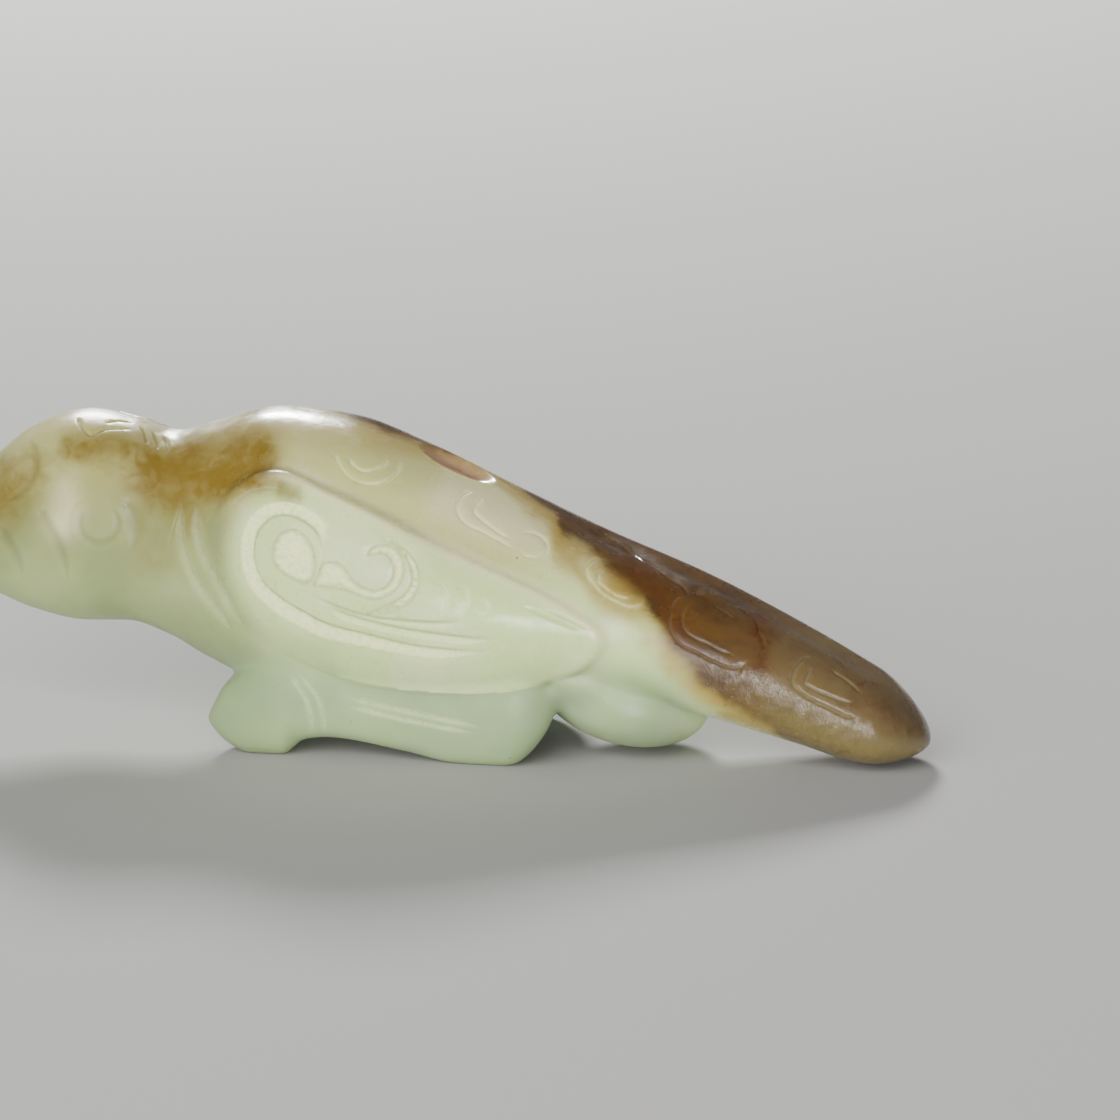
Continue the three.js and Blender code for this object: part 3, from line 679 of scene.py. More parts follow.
coverts = [
    stroke(from_side([(3.05, 12.0), (3.4, 11.25), (3.35, 10.5), (2.95, 9.95)])),
    stroke(from_side([(4.2, 11.9), (4.6, 11.3), (4.55, 10.6), (4.15, 10.0)])),
    stroke(from_side([(5.5, 11.2), (5.85, 10.6), (5.8, 10.1), (5.4, 9.8)])),
]
hair_lines = [
    stroke(from_side([(-4.32, 14.0), (-4.25, 13.3), (-4.5, 12.5), (-5.2, 11.7)]), run_in=1.0, press=0.9),
    stroke(from_side([(-10.6, 15.4), (-9.9, 16.3), (-8.95, 16.9), (-7.8, 17.15), (-6.6, 17.0)]), run_in=1.5, run_out=1.5),
    stroke(from_side([(7.5, 10.75), (9.4, 9.95), (11.4, 9.1)]), run_in=1.5),
    stroke(from_side([(8.7, 10.6), (10.3, 9.9), (11.9, 9.15)]), run_in=1.5),
]
beside_the_wing = [stroke(from_side([
    (-8.5, 18.8), (-6.0, 18.5), (-4.0, 17.75), (0.0, 16.1), (4.3, 14.2), (7.5, 12.75), (10.7, 11.1), (12.9, 9.7),
    (13.6, 8.7), (13.2, 7.5), (12.4, 6.4),
]), run_in=2.0, run_out=1.0)]
under_the_wing = [stroke(from_side([
    (-7.6, 7.0), (-4.9, 5.75), (-2.2, 4.95), (0.4, 4.7), (2.8, 4.65), (6.5, 4.95), (9.0, 5.5), (10.6, 6.05),
]), run_in=3.0, run_out=2.5)]
button = [stroke(from_side([(-1.12, 12.7), (-1.02, 12.7)]), run_in=0.01, run_out=0.01, press=0.9)]
print("feathers and coverts of a wing:", len(feathers) + len(coverts))

# %% [markdown]
# ## The drawing of head, neck and legs
# The eye is a round boss in a ring. A scroll with a button stands on the cheek, two soft lines mark the jaw,
# and a small tuft lies back on the crown. Two deep lines, with a ridge between them, part the neck from the
# shoulder. The legs have two rings at the ankle and two lines along the shank.

# %% Draw head, neck and legs
deep_cuts = [
    stroke(from_side([(-13.8, 15.6), (-13.9, 14.2), (-13.7, 13.0), (-13.2, 11.6), (-12.2, 10.1), (-11.2, 9.0),
                      (-10.1, 7.6)]), run_in=1.5, run_out=2.0),
    stroke(from_side([(-12.7, 15.8), (-12.8, 14.6), (-12.5, 13.2), (-12.0, 12.1), (-11.3, 11.0), (-10.4, 9.5),
                      (-9.4, 8.1)]), run_in=1.5, run_out=2.0),
]
soft_cuts = [
    stroke(from_side([(-23.0, 14.8), (-22.2, 13.8), (-21.5, 12.6), (-21.1, 11.1), (-21.0, 9.9)]), run_out=2.0),
    stroke(from_side([(-25.5, 13.3), (-24.9, 12.4), (-24.3, 11.4), (-24.0, 10.2)]), run_out=1.5),
    stroke(from_side([(-31.4, 9.9), (-29.6, 10.7), (-28.0, 11.1), (-26.6, 11.3)]), press=0.7),
]
cheek_arc = [stroke(from_side([(-18.2, 15.6), (-17.3, 15.1), (-16.8, 14.1), (-16.8, 13.1), (-17.3, 12.0)]),
                    run_in=1.5, run_out=2.0)]
cheek = card(-19.0, 14.0)
eye = card(-25.2, 16.8)
faint_lines = [
    stroke(eye(circle(2.05, 80, -110, 14)), run_in=1.5, run_out=1.5),
    stroke(cheek(circle(1.18, -230, 60)), run_in=1.0, run_out=1.0, press=0.9),
    stroke(cheek(circle(1.85, 100, 235)), run_in=1.5, run_out=1.5, press=0.6),
]
fine_cuts = [
    stroke(from_side([(-13.8, 16.4), (-14.0, 15.3), (-14.3, 14.1), (-14.6, 12.9), (-14.9, 11.6)]),
           run_in=1.0, run_out=2.0, press=0.6),
    stroke(from_side([(-14.4, 16.3), (-13.4, 17.2), (-12.4, 17.5), (-11.2, 17.6), (-10.4, 18.0), (-9.8, 18.7)]),
           run_in=1.5, run_out=1.5, press=0.22),
    stroke(from_above([(-21.4, -1.2), (-20.6, -2.5), (-20.1, -2.8), (-19.4, -2.2), (-18.6, -1.8), (-17.8, -1.6)])),
    stroke(from_above([(-19.5, -1.7), (-18.7, -0.9), (-17.8, -0.8)]), press=0.8),
    stroke(from_above([(-17.4, -0.9), (-16.9, -1.7), (-16.6, -2.5)]), press=0.8),
    stroke(from_above([(-16.7, -0.9), (-16.2, -1.7), (-15.9, -2.6)]), press=0.8),
    stroke(from_above([(-16.0, -0.9), (-15.4, -2.0), (-15.3, -2.7)]), press=0.8),
    stroke(from_side([(-8.4, 4.3), (-7.6, 4.7), (-6.9, 4.9)]), press=0.5),
]
shank_lines = [
    stroke(from_side([(-6.8, 5.5), (-6.4, 5.0), (-5.75, 4.0), (-5.5, 2.7), (-5.5, 1.6)]), press=0.8),
    stroke(from_side([(-6.15, 5.7), (-5.75, 5.1), (-5.0, 4.1), (-4.75, 2.8), (-4.75, 1.7)]), press=0.8),
    stroke(from_side([(-3.6, 4.3), (0.5, 3.6), (5.7, 2.8)]), run_in=1.5, run_out=2.0),
    stroke(from_side([(-3.4, 3.75), (0.5, 3.05), (5.3, 2.4)]), run_in=1.5, run_out=2.0),
]
fissures = [
    stroke(from_above([(10.4, 1.2), (12.3, 0.6), (13.0, 0.0), (13.5, -0.3), (14.2, -1.2), (14.8, -1.4), (15.9, -2.0),
                       (16.5, -2.1), (17.4, -2.9)]), run_in=1.5, press=[0.6, 1.0, 0.8, 1.2, 1.0]),
    stroke(from_above([(21.0, -1.6), (21.5, -2.3), (21.7, -2.9), (22.1, -3.3), (22.0, -3.8), (21.6, -4.1)]),
           press=[0.3, 0.5, 0.35, 0.55, 0.35]),
]
print("cuts on the head and legs drawn")

# %% [markdown]
# ## The cloud scrolls down the back
# Scrolls follow each other down the back and tail: hooks of two lines with a round front end, a pearl behind
# the first, and a round curl over the wing. The outer line of each comes first here, and its inner one next.

# %% Draw the scrolls
scroll_lines = [
    [(-4.4, 18.9), (-4.1, 18.4), (-3.6, 17.9), (-2.9, 17.5), (-2.0, 17.3), (-1.2, 17.4), (-0.6, 17.8), (-0.6, 18.3)],
    [(-3.6, 18.7), (-3.2, 18.3), (-2.6, 18.0), (-1.9, 18.0), (-1.4, 18.2), (-1.3, 18.5)],
    [(3.9, 16.5), (3.5, 16.5), (3.2, 16.1), (3.3, 15.7), (3.9, 15.1), (5.0, 14.6), (6.0, 14.1), (7.0, 13.6)],
    [(4.6, 16.1), (4.3, 16.0), (4.2, 15.7), (4.5, 15.4), (5.1, 15.0), (5.9, 14.5), (6.7, 14.1)],
    [(12.1, 12.7), (11.6, 12.8), (11.2, 12.5), (11.4, 12.0), (11.8, 11.6), (12.5, 11.0), (13.3, 10.6), (14.1, 10.3),
     (14.6, 10.4), (14.8, 10.7)],
    [(12.4, 12.3), (12.0, 12.2), (12.0, 11.8), (12.5, 11.4), (13.1, 11.0), (13.8, 10.8), (14.2, 10.9)],
    [(17.1, 10.7), (16.7, 10.6), (16.5, 10.1), (16.5, 9.4), (16.7, 8.8), (17.2, 8.2), (18.2, 7.7), (19.2, 7.2),
     (20.3, 6.8), (21.0, 6.9), (21.2, 7.4)],
    [(17.5, 10.3), (17.2, 10.0), (17.2, 9.5), (17.4, 9.0), (17.9, 8.6), (18.8, 8.2), (19.6, 7.8), (20.5, 7.5)],
    [(18.7, 10.2), (19.6, 9.7), (20.4, 9.2)],
    [(21.5, 8.8), (22.0, 8.2), (22.0, 7.6)],
    [(25.0, 7.1), (24.5, 7.1), (24.2, 6.8), (24.0, 6.4), (24.0, 5.9), (24.3, 5.5), (25.2, 4.9), (26.3, 4.4),
     (27.1, 4.0), (28.0, 3.8)],
    [(25.3, 6.6), (24.9, 6.5), (24.8, 6.2), (24.7, 5.9), (25.1, 5.6), (26.0, 5.2), (27.0, 4.8), (27.8, 4.6)],
    [(26.1, 6.4), (27.4, 5.6), (28.1, 5.0)],
]
WORN = range(6, 10)
scroll_cuts = [stroke(from_side(line), run_in=0.5, run_out=0.7, press=0.65 if i in WORN else 1.0)
               for i, line in enumerate(scroll_lines)]
pearl = card(7.9, 13.8)
scroll_cuts.append(stroke(pearl(circle(0.95, 160, -150)), run_in=1.0, run_out=1.0, press=0.9))
print("lines of the scrolls:", len(scroll_lines))

# %% [markdown]
# ## Cut the drawings into the blank
# Each drawing is cut by its own copy of the wheel, with its sizes in millimetres. The order is the carver's:
# deep and soft lines first, then the broad one-sided cuts, then the fine ones, and the raised bosses last,
# which are cuts of negative depth.

# %% Run the wheel along the drawings
def run_wheel(name, strokes, width, depth, bevel, slant=0.0, matt=0.0, crease=0.0, flips=(1, -1)):
    lines = drawing(name, strokes, flips)
    modifier = blank.modifiers.new(name, "NODES")
    modifier.node_group = wheel
    values = {"Drawing": lines, "Width": width, "Depth": depth, "Bevel": bevel, "Slant": slant, "Matt": matt,
              "Crease": crease, "Stone": nephrite}
    for socket in wheel.interface.items_tree:
        if socket.in_out == "INPUT" and socket.name in values:
            modifier[socket.identifier] = values[socket.name]
    return lines


SUNK_REGION = {"width": 2.6, "bevel": 0.12, "slant": 1.0, "matt": 1.0, "crease": 0.8}
cuts = [
    run_wheel("hollow_beside_the_wing", beside_the_wing, width=1.7, depth=0.03, bevel=0.85),
    run_wheel("step_under_the_wing", under_the_wing, width=1.5, depth=0.06, bevel=0.3, slant=1.0),
    # Partly painted highlight: the collar lines' matt mark gives them a pale band of colour as well as a rougher
    # polish
    run_wheel("lines_of_the_collar", deep_cuts, width=1.1, depth=0.24, bevel=0.55, matt=0.3),
    run_wheel("lines_of_the_jaw", soft_cuts, width=1.2, depth=0.14, bevel=0.6, crease=0.35),
    run_wheel("faint_rings", faint_lines, width=0.8, depth=0.06, bevel=0.4, crease=0.35),
    run_wheel("arc_of_the_cheek", cheek_arc, width=1.7, depth=0.09, bevel=0.85, crease=0.35),
    run_wheel("band_of_the_volute", volute, width=0.95, depth=0.18, bevel=0.13, slant=1.0, matt=1.0, crease=1.0),
    run_wheel("feathers", feathers, width=0.55, depth=0.12, bevel=0.12, slant=1.0, matt=0.5, crease=0.8),
    run_wheel("leaf_in_the_volute", leaf, depth=0.11, **SUNK_REGION),
    run_wheel("comma_round_the_button", comma, depth=0.11, **SUNK_REGION),
    run_wheel("crescent", crescent, depth=0.09, **SUNK_REGION),
    run_wheel("coverts", coverts, width=0.5, depth=0.06, bevel=0.25, matt=0.7),
    run_wheel("hair_lines", hair_lines, width=0.36, depth=0.1, bevel=0.18, matt=0.3, crease=0.4),
    run_wheel("fine_lines", fine_cuts, width=0.4, depth=0.13, bevel=0.2, matt=0.2),
    run_wheel("shank_lines", shank_lines, width=0.5, depth=0.13, bevel=0.25, matt=0.8),
    run_wheel("scroll_lines", scroll_cuts, width=0.38, depth=0.12, bevel=0.19, matt=0.9),
    run_wheel("fissures_in_the_skin", fissures, width=0.32, depth=0.24, bevel=0.16, crease=1.0, flips=(1,)),
    run_wheel("low_boss_of_the_button", button, width=1.7, depth=-0.08, bevel=0.8),
]
bird = plain_mesh(blank, "carved_blank")
for lines in cuts:
    bpy.data.objects.remove(lines)
print("carved:", len(bird.data.polygons), "faces")

# %% [markdown]
# ## Fewer faces, same shape
# The carved skin has far more faces than the calm parts need. Decimate merges them where the surface is
# smooth and keeps them along the cuts. The mesh is then turned to metres and set in the CAD model's own box.

# %% Thin the mesh and set it in its place
MOST_TRIANGLES = 195000
thin = bird.modifiers.new("thin", "DECIMATE")
thin.ratio = MOST_TRIANGLES / (2 * len(bird.data.polygons))
bird = plain_mesh(bird, "jade_bird")
for face in bird.data.polygons:
    face.use_smooth = True
places = points_of(bird.data)
print("thinned:", len(bird.data.polygons), "triangles; attributes", [a.name for a in bird.data.attributes])

# %% [markdown]
# ## Where the stone changes colour
# The pebble kept some of its brown skin: a russet crust along the back and over the tail, and an ochre stain
# on the nape. The carver left it on purpose. The stone itself is deeper in the thick breast and head, cooler in
# the legs, and warmer near the skin. The deep and cool colours are partly painted shade, darker low down and
# over the front of the wing. A milky colour is partly painted light, and the hollow's brown is painted lighter
# as a glow. Each is a soft field stored on the mesh's points. The skin's field is how far in mm a point lies
# inside its edges, so the material can fray them with noise.

# %% Store the colour fields
# The two edges of the skin at stations along the bird: x, near and far edge in degrees round from the ridge
skin_edges = [
    (-9.0, -40, -20), (-6.0, -8, -20), (-3.5, 7, -28), (-2.2, 9, -30), (-0.1, 3, -34), (3.8, -15, -46),
    (5.7, -7, -46), (7.0, 4, -48), (8.6, 13, -52), (9.3, 33, -55), (10.7, 36, -60), (12.2, 47, -66), (14.9, 62, -78),
    (16.7, 86, -92), (18.7, 107, -108), (20.7, 119, -126), (22.7, 130, -150), (24.0, 190, -190), (32.0, 280, -280),
]
# Ochre stains: a line of the side view, how far the stain reaches from it, and its strength
stains = [
    ([(-15.9, 16.7), (-14.8, 16.9), (-13.4, 16.7), (-12.2, 16.7), (-11.2, 17.2), (-10.2, 17.9), (-9.4, 18.3)],
     1.35, 0.98),
    ([(-13.6, 18.0), (-12.4, 18.3), (-11.3, 18.5), (-10.1, 18.7), (-9.2, 18.8)], 1.3, 0.8),
    ([(-21.3, 18.3), (-20.2, 18.25), (-19.1, 18.4), (-17.8, 18.3), (-16.7, 18.0), (-15.6, 17.4)], 0.8, 0.8),
    ([(-14.6, 15.9), (-13.8, 15.2), (-13.5, 14.6)], 1.3, 0.55),
    ([(-8.7, 17.7), (-7.9, 17.5), (-7.1, 17.2), (-6.4, 16.9)], 0.75, 0.7),
    ([(-26.4, 16.2), (-24.8, 16.4), (-23.8, 16.9)], 1.6, 0.45),
    ([(-28.0, 15.2), (-26.3, 14.8), (-24.9, 14.4)], 1.6, 0.5),
    ([(-27.5, 13.5), (-24.5, 16.2), (-20.5, 17.0), (-17.5, 16.4), (-16.0, 14.5), (-15.8, 12.0)], 2.2, 0.36),
]
FAR_STAINS = 0.6
# The wing's front, where the deep colour of the breast, partly painted shade, runs on over its edge
front_of_the_wing = [(-9.4, 17.5), (-10.6, 16.5), (-11.8, 13.6), (-11.1, 10.3), (-8.4, 7.2), (-4.5, 5.7)]
# Milky places, partly painted light: a line of the side view and how far the pale colour reaches from it. The line on
# the cheek paints a soft highlight, and the thin one along the wing's upper rim paints light on its shaded slope.
milky_and_lit_places = [
    ([(2.6, 16.4), (5.4, 15.2), (9.3, 13.9), (12.4, 12.3)], 1.2), ([(-21.2, 16.0), (-21.1, 14.9), (-21.3, 14.0)], 1.1),
    ([(-8.6, 17.9), (-6.2, 17.7), (-4.1, 16.9), (4.2, 13.3), (10.6, 10.3), (12.7, 8.6)], 0.4),
]
# Russet places in the skin, lines of the side view
russet_places = [
    [(13.6, 12.3), (15.2, 11.3), (16.3, 10.4), (16.8, 9.4), (17.4, 8.5)], [(21.4, 9.0), (21.9, 7.9), (21.8, 6.9)],
]
# A grey patch beyond the crack, seen from above
grey_patch = [(12.4, 0.9), (14.0, 0.3), (15.4, -0.8), (16.6, -1.5)]


def in_outline(outline, x, z):
    """Which points of the side view lie inside a closed outline."""
    inside = np.zeros(len(x), bool)
    for (ax, az), (bx, bz) in zip(outline, np.roll(outline, -1, axis=0)):
        crosses = (az > z) != (bz > z)
        at = ax + (z - az) / np.where(bz == az, 1, bz - az) * (bx - ax)
        inside ^= crosses & (x < at)
    return inside


x, y, z = places.T
angle, half_width = round_the_trunk(x, y, z)
station = np.clip(x, skin_edges[0][0], skin_edges[-1][0])
edge_rows = [(*row, 0) for row in skin_edges]
inside = np.minimum(profile(edge_rows, 1)(station) - angle, angle - profile(edge_rows, 2)(station))
on_top = 1 - smoothstep(np.abs(angle), 15, 50)
on_wing = in_outline(smooth_curve(wing_outline, closed=True), x, z) & (np.abs(y) > 4.5)
off_wing = 1 - 0.9 * on_wing * smoothstep(near(front_of_the_wing, x, z), 0.3, 2.0)
hollow_share = (1 - smoothstep(in_hollow(x, y), 0.4, 1.2)) * on_top
in_front = 1 - smoothstep(x, -13, -10)
low_flank = smoothstep(np.abs(angle), 45, 80) * (1 - smoothstep(x, 17, 20))
fields = {
    "skin": np.radians(inside) * half_width,
    "ochre": (1 - np.prod([1 - strength * np.exp(-(near(line, x, z) / reach) ** 2)
                           for line, reach, strength in stains], axis=0)) * np.where(y < 0, 1, FAR_STAINS),
    "warm": smoothstep(z, 9, 14) * off_wing * (1 - smoothstep(x, 6, 15)),
    # Partly painted shade: darker in the breast, head and over the wing's front
    "deep_and_shade": (1 - smoothstep(x, -11, -5)) * off_wing * (1 - smoothstep(z, 14, 18)),
    # Partly painted shade: darker towards the bottom of legs, lobe and belly
    "cool_and_low_shade": (1 - smoothstep(z, 4.5, 8)) * off_wing * smoothstep(x, -14, -12) * (1 - smoothstep(x, 16, 19)),
    "tan": on_top * smoothstep(x, -27, -20) * (1 - smoothstep(x, -1, 4)),
    "wear": np.exp(-(near(tail_lumps[0], x, z) / 1.6) ** 2),
    "low": smoothstep(np.abs(angle), 55, 100),
    "satin": np.where(on_wing, 0.25, np.maximum(low_flank, 0.5 * in_front)),
    # Painted glow: the hollow's brown is made lighter than the skin around it
    "recess_with_painted_glow": hollow_share,
    # Partly painted light: a highlight on the cheek and light on the slope above the wing's upper rim
    "milky_and_painted_light": np.max([np.exp(-(near(line, x, z) / reach) ** 2) for line, reach in milky_and_lit_places], axis=0),
    "russet": np.exp(-(np.minimum(*(near(line, x, z) for line in russet_places)) / 0.65) ** 2) * (y < 0),
    "grey": on_top * np.exp(-(near(grey_patch, x, y) / 0.7) ** 2),
}
for name, values in fields.items():
    bird.data.attributes.new(name, "FLOAT", "POINT").data.foreach_set("value", values.astype(np.float32))
    print(name, "reaches", int((values > 0.3).sum()), "points")

# %% Set it in its place
low, high = places.min(axis=0), places.max(axis=0)
cad_low, cad_high = (np.array(corner) / METRES for corner in cad_box)
fit = (cad_high - cad_low) / (high - low) * 0.9995
fit[2] = min(cad_high[2] / high[2] * 0.9995, 1)
middle = np.array((*((cad_low + cad_high) / 2)[:2], 0))
own_middle = np.array((*((low + high) / 2)[:2], 0))
print("size before fitting:", (high - low).round(3), "fit:", fit.round(4))
put_points(bird.data, ((places - own_middle) * fit + middle) * METRES)

# %% Stand it for the CAD solid
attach(bird, "root")
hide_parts("bird_carving")

# %% [markdown]
# ## The stone: polished nephrite
# Nephrite is a felt of tiny fibres. Light goes a millimetre or two into it before it comes out again, so thin
# parts glow and shadows are soft, and its polish is greasy rather than glassy. Principled subsurface does
# the first, a middling roughness the second. The wheel-cut slopes were never polished as far as the rest, so
# they are paler and matt.

# %% Colours of the stone
def linear(hex_colour):
    """An sRGB hex colour as linear red, green, blue and alpha."""
    parts = [int(hex_colour[i:i + 2], 16) / 255 for i in (1, 3, 5)]
    return (*(p / 12.92 if p <= 0.04045 else ((p + 0.055) / 1.055) ** 2.4 for p in parts), 1.0)


STONE = "#c8dc98"
CLOUD = "#e0e5bd"
WARM_STONE = "#b4ac69"
# Partly painted shade: a deeper olive for the thick breast and head, darker for their shade
DEEP_STONE_AND_SHADE = "#7f8a57"
# Partly painted shade: a cooler, darker green for the legs and lobe, darker towards the bottom
COOL_STONE_AND_LOW_SHADE = "#889e77"
TAN_STONE = "#b09c70"
# Partly painted light: a pale cream for milky stone, for the cheek's highlight and for the lit slope along the wing's
# rim
MILKY_STONE_AND_PAINTED_LIGHT = "#e5deb6"
OCHRE = "#735b14"
GOLDEN_STONE = "#a8934a"
SKIN_EDGE = "#8a6f30"
SKIN = "#5e431c"
SKIN_DEEP = "#4a3318"
TAIL_SKIN = "#655135"
TAIL_CLOUD = "#7b6c45"
TAIL_GOLD = "#786b40"
GREY_SKIN = "#756c61"
RUSSET = "#55300f"
# Partly painted light: the brown of the hollow, made pale as the glow of light through its wall
RECESS_AND_PAINTED_GLOW = "#b89476"
MATT_STONE = "#f8ffc2"
# The colour of the painted shade in the creases of the cuts
CREASE_SHADE = "#8a9458"
SPECK = "#3a2c1a"

# %% Build the material
nephrite.use_nodes = True
stone = nephrite.node_tree
shader = stone.nodes["Principled BSDF"]
position = add_node(stone, "ShaderNodeTexCoord").outputs["Object"]
in_mm = add_node(stone, "ShaderNodeVectorMath", {0: position, "Scale": 1 / METRES}, operation="SCALE")


def field(name):
    return add_node(stone, "ShaderNodeAttribute", attribute_name=name).outputs["Fac"]


def noise(size, detail=3.0, roughness=0.5, stretch=(1, 1, 1), distortion=0.0):
    """Noise whose largest features are about size mm."""
    at = add_node(stone, "ShaderNodeMapping", {"Vector": in_mm, "Scale": tuple(s / size for s in stretch)})
    made = add_node(stone, "ShaderNodeTexNoise", {
        "Vector": at, "Scale": 1.0, "Detail": detail, "Roughness": roughness, "Distortion": distortion,
    })
    return made.outputs["Fac"]


def number(operation, *values):
    return add_node(stone, "ShaderNodeMath", dict(enumerate(values)), operation=operation)


def ramp(value, low, high, to_low=0.0, to_high=1.0):
    return add_node(stone, "ShaderNodeMapRange", {
        "Value": value, "From Min": low, "From Max": high, "To Min": to_low, "To Max": to_high,
    }, interpolation_type="SMOOTHSTEP")


def blend(share, first, second):
    first, second = (linear(c) if isinstance(c, str) else c for c in (first, second))
    made = add_node(stone, "ShaderNodeMix", {0: share, 6: first, 7: second}, data_type="RGBA")
    return made.outputs[2]


clouds = noise(7.0, detail=4.0, roughness=0.55, distortion=0.6)
colour = blend(ramp(clouds, 0.45, 0.75, 0, 0.8), STONE, CLOUD)
patchy = ramp(noise(6.0), 0.3, 0.7, 0.7, 1.0)
# The deep and cool colours are partly painted shade, and the milky one is partly painted light.
for name, paint, most in (("warm", WARM_STONE, 0.8), ("deep_and_shade", DEEP_STONE_AND_SHADE, 0.9), ("cool_and_low_shade", COOL_STONE_AND_LOW_SHADE, 0.8),
                          ("tan", TAN_STONE, 0.5), ("milky_and_painted_light", MILKY_STONE_AND_PAINTED_LIGHT, 0.75)):
    colour = blend(number("MULTIPLY", number("MULTIPLY", field(name), patchy), most), colour, paint)
veins = noise(2.2, detail=3.0, roughness=0.5, stretch=(0.6, 1, 1), distortion=0.6)
stained = number("MULTIPLY", field("ochre"), ramp(veins, 0.3, 0.7, 0.85, 1.1))
stained = number("MULTIPLY", stained, ramp(noise(0.9, detail=4.0, distortion=0.8), 0.35, 0.65, 0.86, 1.06))
colour = blend(ramp(stained, -0.05, 1.0, 0, 0.96), colour, OCHRE)

fray = number("MULTIPLY", number("SUBTRACT", noise(3.2, detail=4.0, roughness=0.5, distortion=0.8), 0.5), 3.0)
height = number("ADD", field("skin"), fray)
streaks = noise(1.8, detail=5.0, roughness=0.6, stretch=(0.5, 1, 1), distortion=0.5)
mottle = noise(1.1, detail=4.0, roughness=0.6, distortion=0.4)
tail = ramp(add_node(stone, "ShaderNodeSeparateXYZ", {0: in_mm}), 18.0, 25.0)
golden = number("MULTIPLY", ramp(height, -2.6, -0.1, 0.0, 0.95), ramp(clouds, 0.35, 0.6, 0.45, 1.0))
colour = blend(golden, colour, GOLDEN_STONE)
crust = blend(ramp(height, 0.2, 2.5), SKIN_EDGE, SKIN)
deepest = number("MULTIPLY", ramp(streaks, 0.38, 0.65, 0, 0.9), ramp(height, 0.5, 1.8))
crust = blend(deepest, crust, SKIN_DEEP)
depths = noise(3.5, detail=4.0, roughness=0.6, stretch=(0.5, 1, 1), distortion=0.6)
tail_crust = blend(ramp(depths, 0.38, 0.68, 0.0, 0.45), TAIL_SKIN, TAIL_CLOUD)
tail_crust = blend(number("MULTIPLY", field("low"), ramp(mottle, 0.3, 0.6, 0.5, 1.0)), tail_crust, TAIL_GOLD)
tail_crust = blend(ramp(mottle, 0.5, 0.75, 0.0, 0.5), tail_crust, SKIN_DEEP)
crust = blend(tail, crust, tail_crust)
crust = blend(number("MULTIPLY", field("russet"), ramp(mottle, 0.35, 0.6, 0.35, 0.85)), crust, RUSSET)
crust = blend(number("MULTIPLY", field("grey"), ramp(mottle, 0.3, 0.6, 0.2, 0.7)), crust, GREY_SKIN)
covered = ramp(height, -0.6, 2.1)
colour = blend(covered, colour, crust)
# Painted light: the hollow gets a pale brown, lighter than the skin, which paints the glow through its wall.
colour = blend(number("MULTIPLY", field("recess_with_painted_glow"), 0.85), colour, RECESS_AND_PAINTED_GLOW)

matt = field("matt")
gritty = ramp(noise(0.3, detail=4.0, roughness=0.7), 0.35, 0.6, 0.45, 1.0)
pale = number("MULTIPLY", number("MULTIPLY", matt, gritty), ramp(covered, 0.0, 1.0, 0.95, 0.15))
colour = blend(pale, colour, MATT_STONE)
# Painted shade: the crease mark darkens the colour along the walls of the cuts and in the cracks.
crease_shade = number("MULTIPLY", field("crease"), 0.55)
colour = add_node(stone, "ShaderNodeMix", {0: crease_shade, 6: colour, 7: linear(CREASE_SHADE)},
                  data_type="RGBA", blend_type="MULTIPLY").outputs[2]
cells = add_node(stone, "ShaderNodeTexVoronoi", {"Vector": in_mm, "Scale": 0.4, "Randomness": 1.0})
chosen = number("GREATER_THAN", add_node(stone, "ShaderNodeSeparateColor", {0: cells.outputs["Color"]}), 0.75)
speck = number("MULTIPLY", chosen, ramp(cells.outputs["Distance"], 0.035, 0.015))
colour = blend(number("MULTIPLY", speck, 0.8), colour, SPECK)

# %% Polish, relief and depth of the material
wear = field("wear")
waves = noise(2.2, detail=2.0)
ripples = noise(0.7, detail=2.0)
grit = noise(0.16, detail=3.0, roughness=0.7)
wrinkles = noise(0.42, detail=4.0, roughness=0.65, stretch=(1.2, 1.2, 0.5), distortion=1.6)
wrinkles = number("ABSOLUTE", number("SUBTRACT", wrinkles, 0.5))
gloss = number("ADD", 0.21, number("MULTIPLY", ramp(noise(1.1, detail=4.0), 0.35, 0.7), 0.08))
for share, more in ((matt, 0.32), (field("satin"), 0.2)):
    gloss = number("ADD", gloss, number("MULTIPLY", share, more))
gloss = number("ADD", gloss, number("MULTIPLY", wear, 0.02))
relief = number("ADD", number("MULTIPLY", waves, 0.05), number("MULTIPLY", ripples, 0.018))
relief = number("ADD", relief, number("MULTIPLY", grit, number("MULTIPLY", matt, 0.09)))
relief = number("ADD", relief, number("MULTIPLY", wrinkles, number("MULTIPLY", wear, 0.07)))
bump = add_node(stone, "ShaderNodeBump", {"Height": relief, "Distance": METRES, "Strength": 1.0})
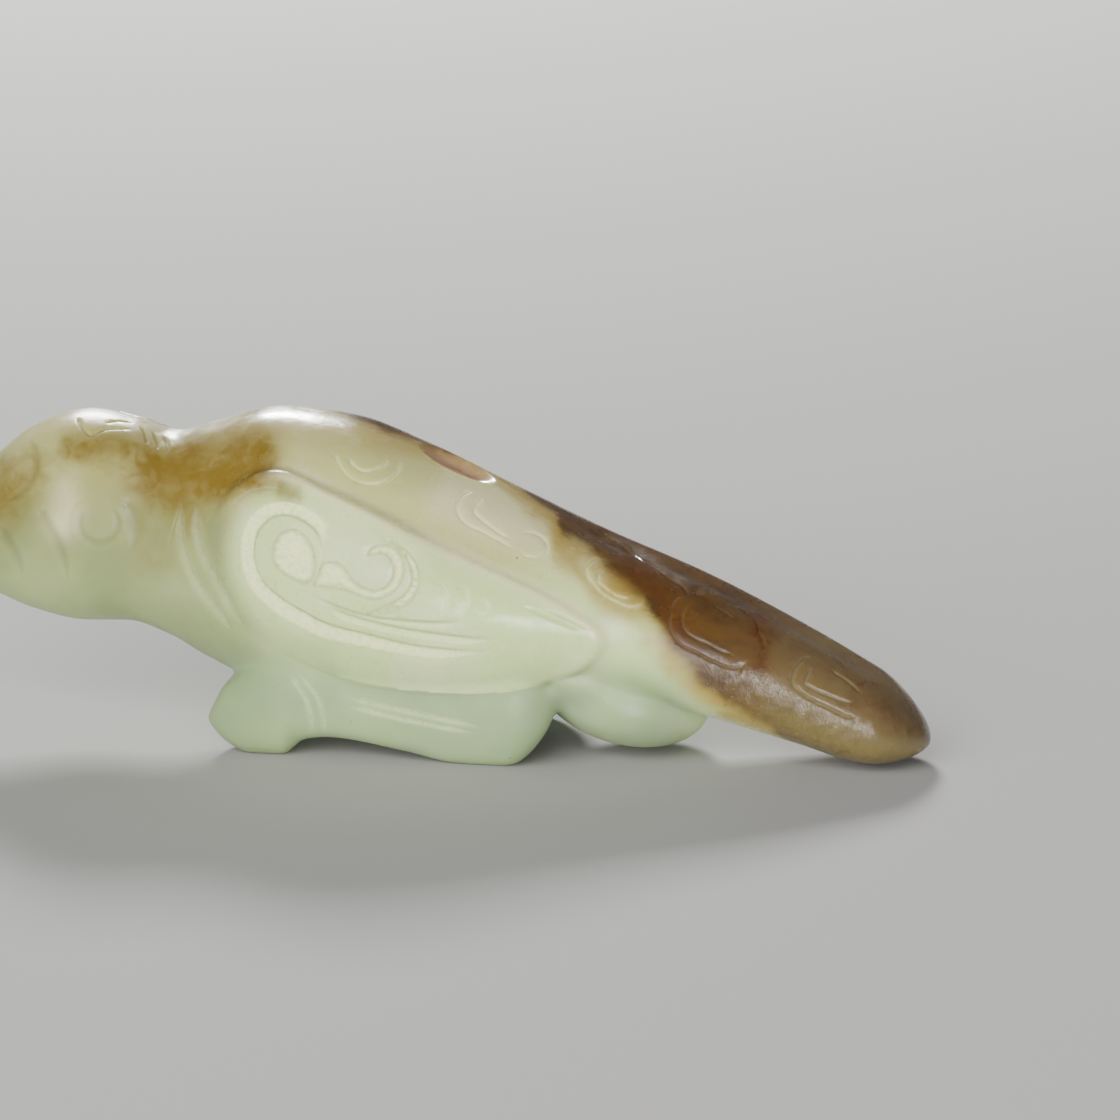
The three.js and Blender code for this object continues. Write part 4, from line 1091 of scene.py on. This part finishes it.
for name, value in {
    "Base Color": colour, "Roughness": gloss, "Normal": bump.outputs[0],
}.items():
    stone.links.new(value if isinstance(value, bpy.types.NodeSocket) else value.outputs[0], shader.inputs[name])
shader.inputs["IOR"].default_value = 1.61
shader.inputs["Subsurface Weight"].default_value = 0.85
shader.inputs["Subsurface Radius"].default_value = (1.0, 0.85, 0.5)
shader.inputs["Subsurface Scale"].default_value = 1.3 * METRES
print("nephrite:", len(stone.nodes), "nodes")

# %% [markdown]
# ## Floor and light
# A plain pale floor, a soft light from behind and above that gives the gloss along the back and shines through
# the stone, a broad light from the front left that only brightens, and a small low one for the sheen on the tail.

# %% Floor and lights
def plane_object(name, corners, faces):
    mesh = bpy.data.meshes.new(name)
    mesh.from_pydata(corners, [], faces)
    made = bpy.data.objects.new(name, mesh)
    bpy.context.scene.collection.objects.link(made)
    return made


floor = plane_object("floor", [(-2, -2, 0), (2, -2, 0), (2, 2, 0), (-2, 2, 0)], [(0, 1, 2, 3)])
paper = bpy.data.materials.new("matt_card")
paper.use_nodes = True
paper_shader = paper.node_tree.nodes["Principled BSDF"]
paper_shader.inputs["Base Color"].default_value = (0.4, 0.395, 0.38, 1)
paper_shader.inputs["Roughness"].default_value = 0.9
floor.data.materials.append(paper)


def soft_light(name, place, size, watts, in_gloss=True):
    data = bpy.data.lights.new(name, "AREA")
    data.size = size
    data.energy = watts
    light = bpy.data.objects.new(name, data)
    light.location = place
    light.rotation_euler = (Vector(place) - Vector((0, 0, 0.01))).to_track_quat("Z", "Y").to_euler()
    light.visible_glossy = in_gloss
    bpy.context.scene.collection.objects.link(light)


soft_light("back_light", (-0.13, 0.42, 0.26), 0.1, 4.0)
soft_light("front_light", (-0.17, -0.47, 0.2), 0.6, 6.1, in_gloss=False)
soft_light("low_light", (0.2, -0.46, 0.03), 0.2, 2.3)
world = bpy.data.worlds.new("pale_room")
world.use_nodes = True
world.node_tree.nodes["Background"].inputs["Color"].default_value = (0.9, 0.92, 1, 1)
world.node_tree.nodes["Background"].inputs["Strength"].default_value = 0.14
bpy.context.scene.world = world
